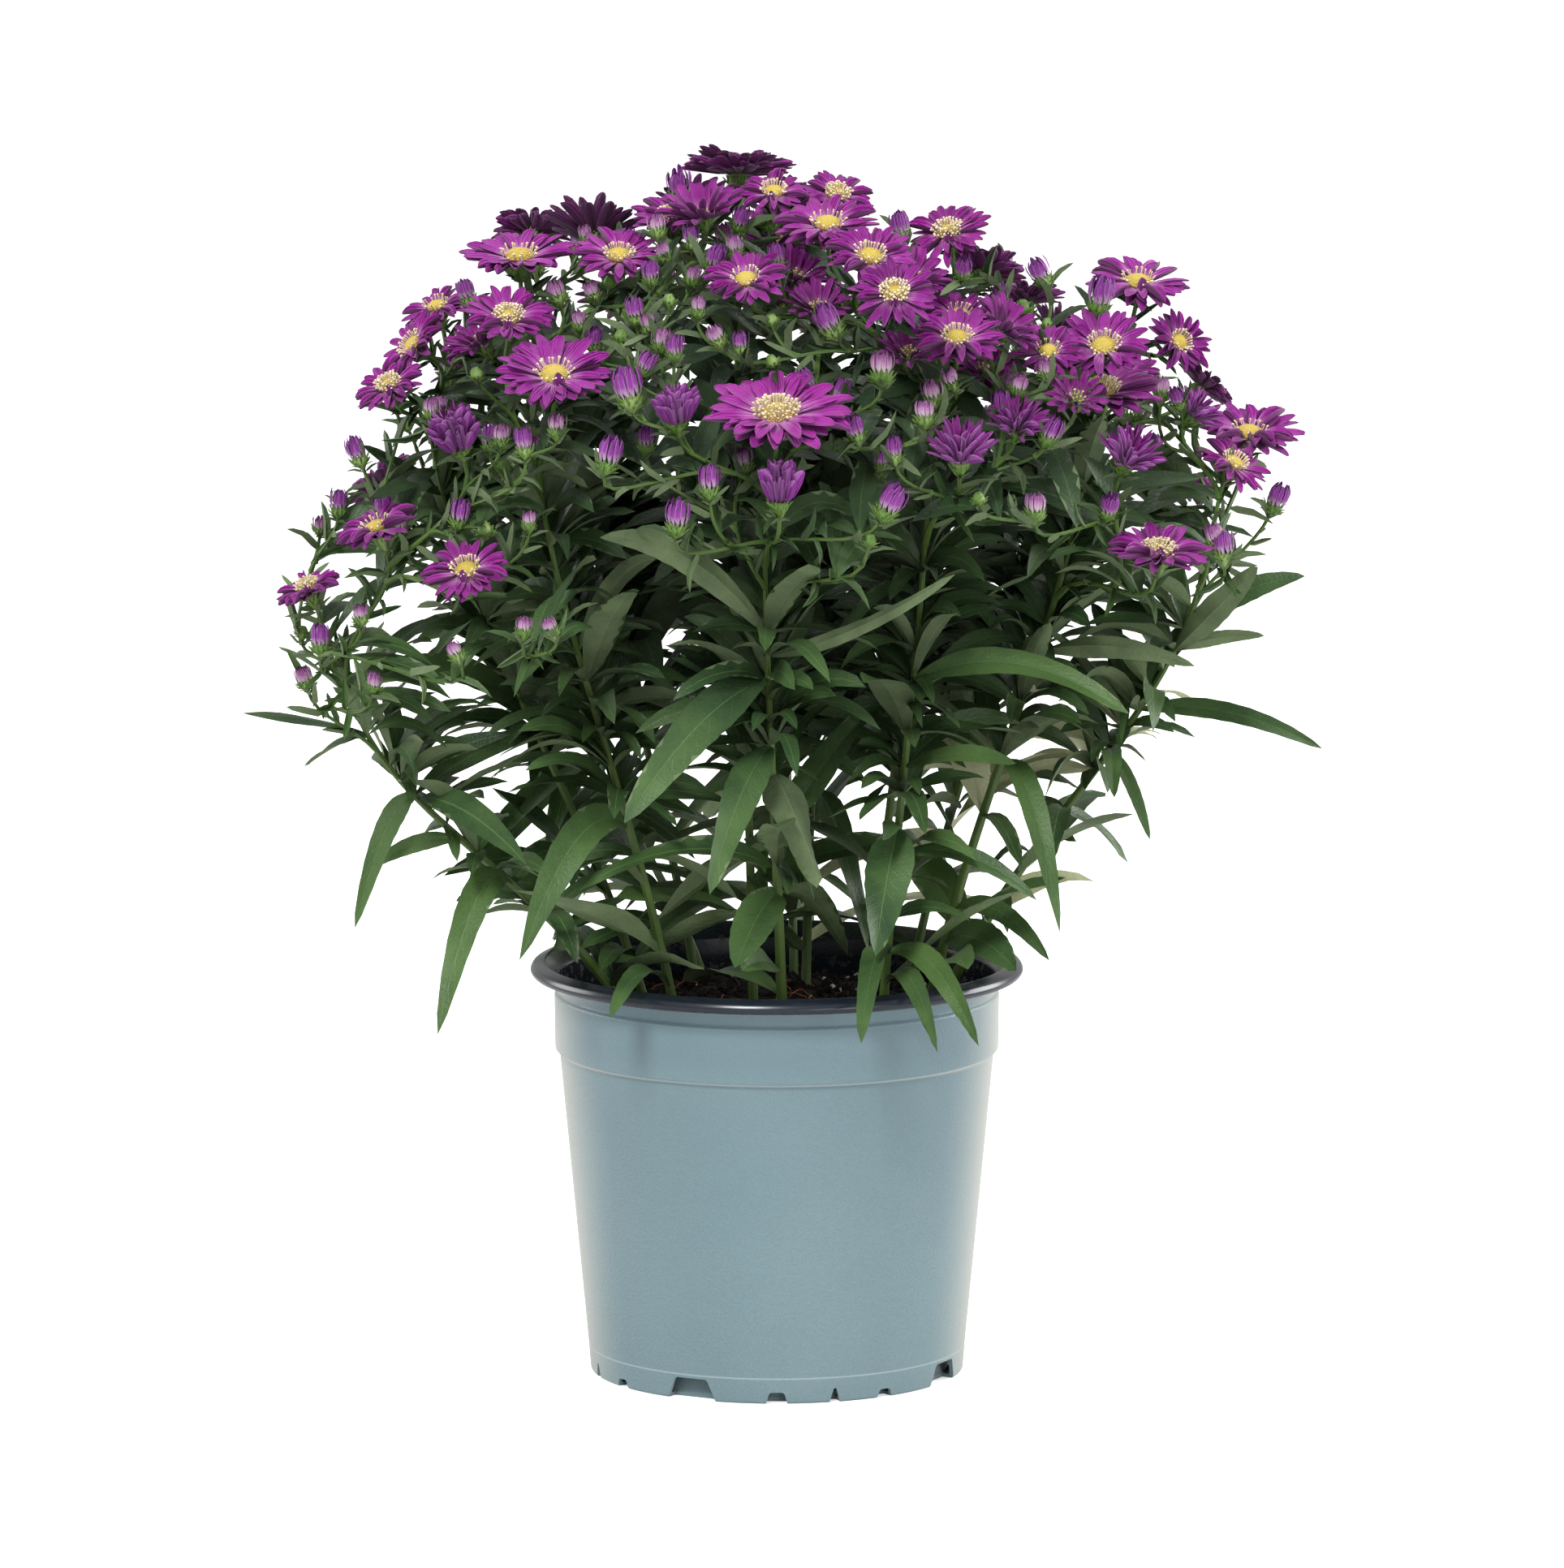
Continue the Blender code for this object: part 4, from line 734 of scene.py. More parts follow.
turnLongLeaves(plan)
print("fading heads:", addFadingHeads(plan), "fill buds:", addFillBuds(plan))
print("fill leaves:", [addFillLeaves(plan, kind) for kind in ("broad", "rear", "crown", "small", "inner")])


madeTriangles = {}


# A bag gathers what makes up one piece, and turns it into one mesh.
class Bag:
    def __init__(self, name):
        self.name, self.count, self.finishes, self.parts = name, 0, [], []

    def add(self, points, form, finish, tone=0.5):
        loops, sizes, maps, under = form
        points = np.asarray(points, float).reshape(-1, 3)
        if finish not in self.finishes:
            self.finishes.append(finish)
        tones = np.broadcast_to(np.asarray(tone, float), (len(points),))
        slots = np.full(len(sizes), self.finishes.index(finish))
        self.parts.append((points, loops + self.count, sizes, maps, tones, under, slots))
        self.count += len(points)

    def addMesh(self, mesh, matrix=None, tone=0.0):
        points = moved(readValues(mesh.vertices, "co", 3), matrix or Matrix())
        loops = readValues(mesh.loops, "vertex_index", 1, int)
        sizes = readValues(mesh.polygons, "loop_total", 1, int)
        maps = readValues(mesh.uv_layers[0].uv, "vector", 2)
        under, tones = (readValues(mesh.attributes[name].data, "value", 1) for name in ("under", "tone"))
        finish = mesh.materials[mesh.polygons[0].material_index]
        self.add(points, (loops, sizes, maps, under), finish, tones + tone)

    def build(self, sharp=50):
        mesh = bpy.data.meshes.new(self.name)
        points, loops, sizes, maps, tones, unders, slots = (np.concatenate(part) for part in zip(*self.parts))
        mesh.vertices.add(self.count)
        mesh.vertices.foreach_set("co", points.ravel())
        mesh.loops.add(len(loops))
        mesh.loops.foreach_set("vertex_index", loops)
        mesh.polygons.add(len(sizes))
        mesh.polygons.foreach_set("loop_start", np.cumsum(sizes) - sizes)
        for finish in self.finishes:
            mesh.materials.append(finish)
        mesh.polygons.foreach_set("material_index", slots)
        mesh.uv_layers.new(name="UVMap").uv.foreach_set("vector", maps.ravel())
        mesh.attributes.new("tone", "FLOAT", "POINT").data.foreach_set("value", tones)
        mesh.attributes.new("under", "FLOAT", "FACE").data.foreach_set("value", unders)
        mesh.update(calc_edges=True)
        mesh.validate()
        mesh.shade_smooth()
        mesh.set_sharp_from_angle(angle=math.radians(sharp))
        madeTriangles[self.name] = int((sizes - 2).sum())
        return showMesh(self.name, mesh)


def readValues(items, field, width, kind=float):
    values = np.empty(len(items) * width, kind)
    items.foreach_get(field, values)
    return values.reshape(-1, width) if width > 1 else values


def showMesh(name, mesh):
    piece = bpy.data.objects.new(name, mesh)
    bpy.context.scene.collection.objects.link(piece)
    return piece


def moved(points, matrix):
    turn = np.array(matrix)
    return np.asarray(points) @ turn[:3, :3].T + turn[:3, 3]


# What a bag needs of a form besides its points: corners, sizes, map and which faces look down.
def formOf(faces, maps=None, under=None):
    maps = maps or [[(0.0, 0.0)] * len(face) for face in faces]
    loops = np.array([corner for face in faces for corner in face])
    sizes = np.array([len(face) for face in faces])
    places = np.array([place for face in maps for place in face], float)
    return loops, sizes, places, np.array(under or [0] * len(faces), float)


# A closed blade of rows and columns. Its two sides share their border, foot and tip.
def bladeForm(rows, columns):
    wide, inner = columns + 1, columns - 1
    lowStart = 1 + (rows - 1) * wide
    tip = lowStart + (rows - 1) * inner
    faces, maps, under = [], [], []
    for side in (0, 1):
        for row in range(rows):
            for column in range(columns):
                corners, places = [], []
                for r, c in ((row, column), (row, column + 1), (row + 1, column + 1), (row + 1, column)):
                    index = 1 + (r - 1) * wide + c
                    if side and 0 < c < columns:
                        index = lowStart + (r - 1) * inner + c - 1
                    index = 0 if r == 0 else tip if r == rows else index
                    if index not in corners:
                        corners.append(index)
                        places.append((c / columns, r / rows))
                faces.append(corners[::-1] if side else corners)
                maps.append(places[::-1] if side else places)
                under.append(side)
    return formOf(faces, maps, under)


def layBlade(top, low):
    # puts the two grids of places in the order that bladeForm expects
    return np.concatenate([top[:1, 0], top[1:-1].reshape(-1, 3), low[1:-1, 1:-1].reshape(-1, 3), top[-1:, 0]])


def tubeForm(rings, sides, step=1.0):
    faces, maps = [], []
    for ring in range(rings - 1):
        for side in range(sides):
            a, b = ring * sides + side, ring * sides + (side + 1) % sides
            faces.append((a, b, b + sides, a + sides))
            corners = ((side, ring), (side + 1, ring), (side + 1, ring + 1), (side, ring + 1))
            maps.append([(s / sides, r * step) for s, r in corners])
    faces += [tuple(range(sides))[::-1], tuple(range((rings - 1) * sides, rings * sides))]
    maps += [[(0.5, 0.0)] * sides, [(0.5, (rings - 1) * step)] * sides]
    return formOf(faces, maps)


def tubePoints(course, radii, sides):
    rings, normal = [], None
    for index, point in enumerate(course):
        along = (course[min(index + 1, len(course) - 1)] - course[max(index - 1, 0)]).normalized()
        normal = along.orthogonal() if normal is None else normal - along * normal.dot(along)
        normal.normalize()
        other = along.cross(normal)
        for side in range(sides):
            turn = 2 * math.pi * side / sides
            rings.append(point + (normal * math.cos(turn) + other * math.sin(turn)) * radii[index])
    return rings


# A section turned round Z. A radius of 0 makes a single point.
def turnedShape(section, sides):
    points, rings, faces, maps = [], [], [], []
    turns = [2 * math.pi * side / sides for side in range(sides)]
    for radius, height in section:
        if radius < 1e-6:
            rings.append([len(points)] * sides)
            points.append((0, 0, height))
        else:
            rings.append(list(range(len(points), len(points) + sides)))
            points += [(radius * math.cos(turn), radius * math.sin(turn), height) for turn in turns]
    for ring in range(len(rings) - 1):
        for side in range(sides):
            corners, places = [], []
            for r, s in ((ring, side), (ring, side + 1), (ring + 1, side + 1), (ring + 1, side)):
                index = rings[r][s % sides]
                if index not in corners:
                    corners.append(index)
                    places.append((s / sides, r / (len(rings) - 1)))
            if len(corners) > 2:
                faces.append(corners)
                maps.append(places)
    return np.array(points), formOf(faces, maps)


# A value in a node tree. Sums of such values make the nodes that work them out.
class Value:
    def __init__(self, tree, socket):
        self.tree, self.socket = tree, socket

    def do(self, operation, *others):
        return self.tree.value("ShaderNodeMath", {0: self, **dict(enumerate(others, 1))}, operation=operation)

    def __add__(self, other):
        return self.do("ADD", other)

    def __sub__(self, other):
        return self.do("SUBTRACT", other)

    def __mul__(self, other):
        return self.do("MULTIPLY", other)

    def __truediv__(self, other):
        return self.do("DIVIDE", other)

    def __pow__(self, other):
        return self.do("POWER", other)

    def rest(self):
        # what is left of 1
        return self.tree.value("ShaderNodeMath", {0: 1.0, 1: self}, operation="SUBTRACT")

    def between(self, low, high):
        limits = {0: self, 1: low, 2: high}
        return self.tree.value("ShaderNodeMapRange", limits, interpolation_type="SMOOTHSTEP")


def inWords(label):
    # firstTurn is the input First Turn
    words = "".join(" " + letter if letter.isupper() else letter for letter in label)
    return words[:1].upper() + words[1:]


# A node tree, for shapes or for a finish, with short ways to add to it.
class Tree:
    def __init__(self, nodes):
        self.tree = nodes

    def fill(self, socket, value):
        if isinstance(value, Value):
            self.tree.links.new(value.socket, socket)
        else:
            socket.default_value = value

    def node(self, kind, inputs=None, **settings):
        node = self.tree.nodes.new(kind)
        for name, value in settings.items():
            setattr(node, name, value)
        for name, value in (inputs or {}).items():
            self.fill(node.inputs[name], value)
        return node

    def value(self, kind, inputs=None, output=0, **settings):
        return Value(self, self.node(kind, inputs, **settings).outputs[output])

    def vector(self, x, y, z):
        return self.value("ShaderNodeCombineXYZ", {0: x, 1: y, 2: z})

    def part(self, vector, axis):
        return self.value("ShaderNodeSeparateXYZ", {0: vector}, axis)

    def place(self):
        return self.value("ShaderNodeTexCoord", output="Object")

    def height(self):
        return self.part(self.place(), 2)

    def attribute(self, name):
        return self.value("ShaderNodeAttribute", output="Fac", attribute_name=name)

    def blend(self, factor, first, second):
        return self.value("ShaderNodeMix", {0: factor, 6: first, 7: second}, 2, data_type="RGBA")

    def ramp(self, factor, stops):
        node = self.node("ShaderNodeValToRGB", {0: factor})
        while len(node.color_ramp.elements) < len(stops):
            node.color_ramp.elements.new(0.5)
        for element, (position, name) in zip(node.color_ramp.elements, stops):
            element.position, element.color = position, colours[name]
        return Value(self, node.outputs[0])

    def group(self, group, **values):
        node = self.node("ShaderNodeGroup", node_tree=group.tree)
        for label, value in values.items():
            self.fill(node.inputs[inWords(label)], value)
        return [Value(self, socket) for socket in node.outputs]

    def mottle(self, first, second, scale, detail=3.0, contrast=0.5):
        return self.group(mottle, firstColour=colours[first], secondColour=colours[second], scale=scale,
                          detail=detail, contrast=contrast)


def newTree(name, kind, inputs, outputs):
    tree = Tree(bpy.data.node_groups.new(name, kind))
    for label, value in inputs.items():
        sort = {float: "Float", int: "Int"}.get(type(value), value)
        socket = tree.tree.interface.new_socket(name=label, in_out="INPUT", socket_type="NodeSocket" + sort)
        if sort != value:
            socket.default_value = value
    for label, sort in outputs.items():
        tree.tree.interface.new_socket(name=label, in_out="OUTPUT", socket_type="NodeSocket" + sort)
    tree.given = {socket.name: Value(tree, socket) for socket in tree.tree.nodes.new("NodeGroupInput").outputs}
    tree.made = tree.tree.nodes.new("NodeGroupOutput").inputs
    return tree


def newItemTree(name, **inputs):
    common = {"Geometry": "Geometry", "Items": "Collection", "Finish": "Material"}
    inputs = {inWords(label): value for label, value in inputs.items()}
    return newTree(name, "GeometryNodeTree", {**common, **inputs}, {"Geometry": "Geometry"})


def randomValue(tree, low, high, offset):
    node = tree.node("FunctionNodeRandomValue", data_type="FLOAT")
    sockets = {socket.name: socket for socket in node.inputs if socket.enabled}
    for label, value in (("Min", low), ("Max", high), ("Seed", tree.given["Seed"] + offset)):
        tree.fill(sockets[label], value)
    return Value(tree, [socket for socket in node.outputs if socket.enabled][0])


def spread(tree, amount, offset):
    # from -amount to amount, where amount is a number or the name of an input
    amount = tree.given[amount] if isinstance(amount, str) else amount
    return randomValue(tree, amount * -1.0, amount, offset)


def onCircle(tree, turn, radius, height):
    return tree.vector(turn.do("COSINE") * radius, turn.do("SINE") * radius, height)


def pickItems(tree, points, rotation, scale, tone):
    # ends a tree: an item on each point, made real, with its tone and its finish
    group = tree.value("GeometryNodeCollectionInfo", {
        "Collection": tree.given["Items"], "Separate Children": True, "Reset Children": True})
    pick = randomValue(tree, 0.0, tree.given["Choices"], 91.0).do("FLOOR")
    placed = tree.value("GeometryNodeInstanceOnPoints", {
        "Points": points, "Instance": group, "Pick Instance": True, "Instance Index": pick,
        "Rotation": rotation, "Scale": scale})
    named = tree.value("GeometryNodeStoreNamedAttribute", {"Geometry": placed, "Name": "tone", "Value": tone},
                       domain="INSTANCE", data_type="FLOAT")
    real = tree.value("GeometryNodeRealizeInstances", {"Geometry": named})
    done = tree.value("GeometryNodeSetMaterial", {"Geometry": real, "Material": tree.given["Finish"]})
    tree.fill(tree.made["Geometry"], done)
    return tree


# Parts that stand in a ring: ray petals, bracts under a flower, the petals of a bud.
def makeWhorlTree():
    tree = newItemTree("Whorl", choices=3.0, count=12, radius=0.002, height=0.0, firstTurn=0.0, turnSpread=0.05,
                       lift=0.1, liftSpread=0.05, rollSpread=0.1, length=0.02, lengthSpread=0.06, width=0.005,
                       depth=0.02, seed=1.0)
    given = tree.given
    share = tree.value("GeometryNodeInputIndex") / given["Count"]
    turn = share.do("MULTIPLY_ADD", 2 * math.pi, given["First Turn"]) + spread(tree, "Turn Spread", 1.0)
    place = onCircle(tree, turn, given["Radius"], given["Height"])
    points = tree.value("GeometryNodePoints", {"Count": given["Count"], "Position": place})
    lift = given["Lift"] + spread(tree, "Lift Spread", 2.0)
    grown = spread(tree, "Length Spread", 4.0) + 1.0
    return pickItems(tree, points, tree.vector(spread(tree, "Roll Spread", 3.0), lift * -1.0, turn),
                     tree.vector(given["Length"] * grown, given["Width"], given["Depth"] * grown),
                     randomValue(tree, 0.0, 1.0, 5.0))


# The florets of a disc, set on a golden spiral over a low dome.
def makeFloretTree():
    tree = newItemTree("Florets", choices=2.0, first=0.0, count=60, whole=100.0, discRadius=0.004, dome=0.001,
                       height=0.002, lean=0.8, leanSpread=0.16, rollSpread=0.12, size=0.0005, sizeSpread=0.2,
                       seed=1.0)
    given = tree.given
    number = tree.value("GeometryNodeInputIndex") + given["First"]
    share = ((number + 0.5) / given["Whole"]).do("SQRT")
    turn = number * math.radians(goldenTurn)
    height = given["Height"] + given["Dome"] - share ** 2.0 * given["Dome"]
    place = onCircle(tree, turn, share * given["Disc Radius"], height)
    points = tree.value("GeometryNodePoints", {"Count": given["Count"], "Position": place})
    lean = given["Lean"] * share + spread(tree, "Lean Spread", 1.0)
    size = given["Size"] * (spread(tree, "Size Spread", 3.0) + 1.0)
    return pickItems(tree, points, tree.vector(spread(tree, "Roll Spread", 2.0), lean, turn),
                     tree.vector(size, size, size), share)


# Small bracts along the upper branches, each a golden turn from the one below it.
def makeBractTree():
    tree = newItemTree("Bracts", choices=3.0, start=0.12, end=0.96, spacing=0.006, tilt=0.8, tiltSpread=0.3,
                       rollSpread=0.5, length=0.012, lengthSpread=0.35, width=0.0028, seed=1.0)
    given = tree.given
    trimmed = {"Curve": given["Geometry"], 2: given["Start"], 3: given["End"]}
    curve = {"Curve": tree.value("GeometryNodeTrimCurve", trimmed, mode="FACTOR"), "Length": given["Spacing"]}
    points = tree.node("GeometryNodeCurveToPoints", curve, mode="LENGTH")
    turn = tree.value("GeometryNodeInputIndex") * math.radians(goldenTurn)
    tilt = given["Tilt"] + spread(tree, "Tilt Spread", 1.0)
    # the item lies along X: stand it on the branch, then lean it away from the branch's own direction
    local = tree.vector(spread(tree, "Roll Spread", 2.0), tilt - math.pi / 2, turn)
    turned = tree.value("FunctionNodeRotateRotation", {"Rotation": Value(tree, points.outputs["Rotation"]),
                                                       "Rotate By": local}, rotation_space="LOCAL")
    grown = spread(tree, "Length Spread", 3.0) + 1.0
    length = given["Length"] * grown
    return pickItems(tree, Value(tree, points.outputs[0]), turned,
                     tree.vector(length, given["Width"] * grown, length), randomValue(tree, 0.0, 1.0, 5.0))


# Crumbs of peat and bark, strewn over the soil.
def makeCrumbTree():
    tree = newItemTree("Crumbs", choices=4.0, density=100000.0, size=0.002, sizeSpread=0.5, sink=0.0, seed=1)
    given = tree.given
    strewn = tree.value("GeometryNodeDistributePointsOnFaces", {
        "Mesh": given["Geometry"], "Density": given["Density"], "Seed": given["Seed"]})
    lower = tree.value("GeometryNodeSetPosition", {
        "Geometry": strewn, "Offset": tree.vector(0.0, 0.0, given["Sink"] * -1.0)})
    turn = [randomValue(tree, -3.1, 3.1, offset) for offset in (1.0, 2.0, 3.0)]
    size = given["Size"] * (spread(tree, "Size Spread", 4.0) + 1.0)
    return pickItems(tree, lower, tree.vector(*turn), tree.vector(size, size, size),
                     randomValue(tree, 0.0, 1.0, 5.0))


whorlTree, floretTree = makeWhorlTree(), makeFloretTree()
bractTree, crumbTree = makeBractTree(), makeCrumbTree()


# Runs a tree on a carrier and gives back the plain mesh that it makes. Values are the tree's inputs.
def grow(tree, kind, finish, data=None, **values):
    carrier = bpy.data.objects.new("carrier", data or bpy.data.meshes.new("carrier"))
    bpy.context.scene.collection.objects.link(carrier)
    modifier = carrier.modifiers.new("Grow", "NODES")
    modifier.node_group = tree.tree
    sockets = {item.name: item.identifier for item in tree.tree.interface.items_tree if item.in_out == "INPUT"}
    values.update(items=items[kind], finish=finishes[finish])
    for label, value in values.items():
        modifier[sockets[inWords(label)]] = value
    bpy.context.view_layer.update()
    depsgraph = bpy.context.evaluated_depsgraph_get()
    mesh = bpy.data.meshes.new_from_object(carrier.evaluated_get(depsgraph), preserve_all_data_layers=True,
                                           depsgraph=depsgraph)
    bpy.data.objects.remove(carrier)
    return mesh


def paint(red, green, blue):
    # a colour as it is seen, 0 to 255, made linear
    seen = [value / 255 for value in (red, green, blue)]
    return (*[value / 12.92 if value < 0.04 else ((value + 0.055) / 1.055) ** 2.4 for value in seen], 1.0)


# Colours as they are seen, 0 to 255. Some of them stand for painted shade and painted highlight on the leaves,
# the petals and the pot.
colours = {name: paint(*seen) for name, seen in {
    "black": (0, 0, 0), "white": (255, 255, 255), "leafDark": (44, 70, 41), "leafMid": (80, 110, 60),
    "leafFresh": (98, 130, 62), "leafRib": (112, 144, 84), "leafDeep": (14, 25, 16), "leafHigh": (26, 43, 29),
    "leafSunlit": (228, 230, 188), "leafGrain": (20, 34, 20), "underDark": (86, 104, 70),
    "underLight": (120, 138, 98), "underRib": (134, 150, 108), "stemDark": (66, 96, 42),
    "stemLight": (100, 128, 62), "stemRidge": (74, 100, 40), "stemOld": (70, 84, 40), "sepalDark": (74, 108, 44),
    "sepalLight": (112, 146, 66), "sepalEdge": (158, 182, 112), "sepalTip": (58, 80, 36),
    "petalTone": (132, 28, 138), "petalGroove": (116, 12, 110), "petalDeep": (138, 19, 132),
    "petalBright": (174, 45, 164), "petalFoot": (216, 158, 212), "petalBackDeep": (92, 16, 88),
    "petalBack": (126, 43, 122), "openingDeep": (142, 26, 140), "openingBright": (180, 56, 174),
    "openingFoot": (214, 160, 214), "openingBackDeep": (108, 24, 118), "openingBack": (160, 62, 166),
    "fadedDeep": (72, 14, 66), "fadedBright": (108, 30, 100), "fadedFoot": (126, 60, 116),
    "fadedBackDeep": (60, 12, 58), "fadedBack": (92, 32, 88), "budBase": (212, 190, 206),
    "budMiddle": (158, 66, 168), "budTip": (134, 40, 146), "budLine": (78, 14, 92), "paleBase": (226, 228, 212),
    "paleMiddle": (216, 168, 208), "paleTip": (148, 48, 144), "paleLine": (112, 22, 112),
    "pollenDark": (206, 164, 40), "pollenLight": (236, 208, 96), "discMiddle": (160, 148, 62),
    "discInner": (180, 160, 66), "discOuter": (194, 176, 102), "pinPale": (212, 200, 166),
    "pinPalest": (222, 212, 184), "potOutside": (120, 144, 150), "potDeep": (110, 135, 142),
    "potLine": (172, 188, 192), "potNeck": (92, 114, 124), "potEdge": (206, 204, 194), "potInside": (17, 23, 32),
    "potInsideLight": (29, 37, 48), "dust": (84, 78, 72), "soilDark": (15, 12, 10), "soilLight": (38, 31, 26),
    "perliteDark": (196, 190, 176), "perliteLight": (232, 230, 222), "rootDark": (120, 62, 46),
    "rootLight": (176, 112, 84), "floor": (246, 246, 245), "floorLight": (252, 252, 252),
}.items()}


# Patches of two colours, as on living skin, soil and cast plastic.
def makeMottle():
    tree = newTree("Mottle", "ShaderNodeTree", {
        "First Colour": "Color", "Second Colour": "Color", "Scale": 200.0, "Detail": 3.0, "Contrast": 0.5},
        {"Colour": "Color", "Amount": "Float"})
    given = tree.given
    grain = tree.value("ShaderNodeTexNoise", {
        "Vector": tree.place(), "Scale": given["Scale"], "Detail": given["Detail"]})
    low = given["Contrast"] * 0.5
    amount = tree.value("ShaderNodeMapRange", {0: grain, 1: low, 2: low.rest()})
    tree.fill(tree.made["Amount"], amount)
    tree.fill(tree.made["Colour"], tree.blend(amount, given["First Colour"], given["Second Colour"]))
    return tree


def mapPlace(tree):
    place = tree.value("ShaderNodeUVMap", uv_map="UVMap")
    return tree.part(place, 0), tree.part(place, 1)


# Fine lines that run along a blade, a petal or a stem.
def makeLines():
    tree = newTree("Lines", "ShaderNodeTree", {"Count": 8.0, "Waver": 0.2, "Waver Scale": 300.0},
                   {"Mask": "Float"})
    given = tree.given
    waver = tree.value("ShaderNodeTexNoise", {"Vector": tree.place(), "Scale": given["Waver Scale"]})
    turn = mapPlace(tree)[0] * given["Count"] + waver * given["Waver"]
    tree.fill(tree.made["Mask"], (turn * (2 * math.pi)).do("SINE") * 0.5 + 0.5)
    return tree


# The midrib of a leaf or bract, and the slanting veins beside it.
def makeVeins():
    tree = newTree("Veins", "ShaderNodeTree", {
        "Rib Width": 0.08, "Vein Count": 11.0, "Slant": 1.6, "Vein Width": 0.13},
        {"Rib": "Float", "Veins": "Float", "Along": "Float", "Edge": "Float"})
    given = tree.given
    across, along = mapPlace(tree)
    edge = (across * 2.0 - 1.0).do("ABSOLUTE")
    step = (along * given["Vein Count"] - edge ** 0.8 * given["Slant"]).do("FRACT")
    line = (step - 0.5).do("ABSOLUTE").between(0.0, given["Vein Width"]).rest()
    rib = edge.between(0.0, given["Rib Width"]).rest()
    for label, value in zip(("Rib", "Veins", "Along", "Edge"), (rib, line * (edge ** 3.0).rest(), along, edge)):
        tree.fill(tree.made[label], value)
    return tree


mottle, lines, veins = makeMottle(), makeLines(), makeVeins()


# A material: the tree round its surface.
class Finish(Tree):
    def __init__(self, name, roughness, specular, sheen=0.0):
        self.material = bpy.data.materials.new(name)
        self.material.use_nodes = True
        super().__init__(self.material.node_tree)
        self.surface = self.tree.nodes["Principled BSDF"].inputs
        self.setSurface("Roughness", roughness)
        self.setSurface("Specular IOR Level", specular)
        self.setSurface("Sheen Weight", sheen)

    def setSurface(self, label, value):
        self.fill(self.surface[label], value)

    def cover(self, colour, relief, depth):
        self.setSurface("Base Color", colour)
        bump = {"Height": relief, "Distance": depth, "Strength": 1.0}
        self.setSurface("Normal", self.value("ShaderNodeBump", bump))
        return self.material


# How strongly each mark shows on a leaf, and where in the crown, in metres, its leaves darken with painted
# shade.
leafLook = {"fresh": 0.5, "veins": 0.06, "rib": 0.62, "under": 0.6, "underVeins": 0.12, "high": (0.22, 0.38),
            "flowerShadeShare": (-0.6, 0.8), "middle": (0.0, 0.0, -1.5), "reach": (6.8, 7.8, 6.6), "deep": (0.5, 0.95),
            "innerShadeAbove": (0.16, 0.25), "innerShadeShare": 0.5, "sunlit": (1.2, 2.0), "sunlitShare": 0.8, "grain": 0.14}


def makeLeafFinish():
    finish, look = Finish("leafBlade", 0.46, 0.34), leafLook
    rib, vein, _, _ = finish.group(veins, ribWidth=0.10, veinCount=12.0, slant=2.2)
    broad, broadAmount = finish.mottle("leafDark", "leafMid", 42.0, 4.0, 0.62)
    fine = finish.mottle("black", "white", 900.0, 2.0)[1]
    tone, under = finish.attribute("tone"), finish.attribute("under")
    top = finish.blend(tone ** 2.0 * look["fresh"], broad, colours["leafFresh"])
    top = finish.blend(vein * look["veins"], top, colours["leafRib"])
    top = finish.blend(rib * look["rib"], top, colours["leafRib"])
    low = finish.mottle("underDark", "underLight", 60.0, 4.0, 0.6)[0]
    low = finish.blend((rib + vein * look["underVeins"]) * look["under"], low, colours["underRib"])
    whole = finish.blend(under, top, low)
    # painted shade: the leaves just under the flowers are the darkest, as the flowers shade them
    high = finish.height().between(*look["high"]) * under.do("MULTIPLY_ADD", *look["flowerShadeShare"])
    whole = finish.blend(high, whole, colours["leafHigh"])
    # and painted shade darkens those far inside the crown, where little light reaches
    inner = {0: finish.place(), "Location": look["middle"], "Scale": look["reach"]}
    inner = finish.value("ShaderNodeMapping", inner)
    reach = finish.value("ShaderNodeVectorMath", {0: inner}, "Value", operation="LENGTH")
    deep = reach.between(*look["deep"]).rest() * finish.height().between(*look["innerShadeAbove"])
    whole = finish.blend(deep * look["innerShadeShare"], whole, colours["leafDeep"])
    whole = finish.blend(tone.between(*look["sunlit"]) * look["sunlitShare"], whole, colours["leafSunlit"])
    whole = finish.blend(fine * look["grain"], whole, colours["leafGrain"])
    finish.setSurface("Roughness", under * 0.26 + (broadAmount * 0.12 + 0.4))
    return finish.cover(whole, vein * -0.25 + fine * 0.5 + broadAmount * 1.2, 0.0002)


def makeStemFinish():
    finish = Finish("stemSkin", 0.5, 0.4)
    skin, amount = finish.mottle("stemDark", "stemLight", 60.0, 4.0)
    ridge = finish.group(lines, count=5.0, waver=0.3, waverScale=120.0)[0]
    colour = finish.blend(ridge * 0.35, skin, colours["stemRidge"])
    colour = finish.blend(finish.attribute("tone") * 0.55, colour, colours["stemOld"])
    return finish.cover(colour, ridge + amount, 0.0002)


def makeSepalFinish():
    finish = Finish("sepal", 0.5, 0.4)
    skin, amount = finish.mottle("sepalDark", "sepalLight", 400.0, 3.0, 0.55)
    rib, _, along, edge = finish.group(veins, ribWidth=0.25, veinCount=6.0, slant=1.0)
    colour = finish.blend(edge.between(0.45, 1.0) * 0.6, skin, colours["sepalEdge"])
    colour = finish.blend(along.between(0.72, 1.0) * 0.7, colour, colours["sepalTip"])
    return finish.cover(colour, rib + amount, 0.00016)


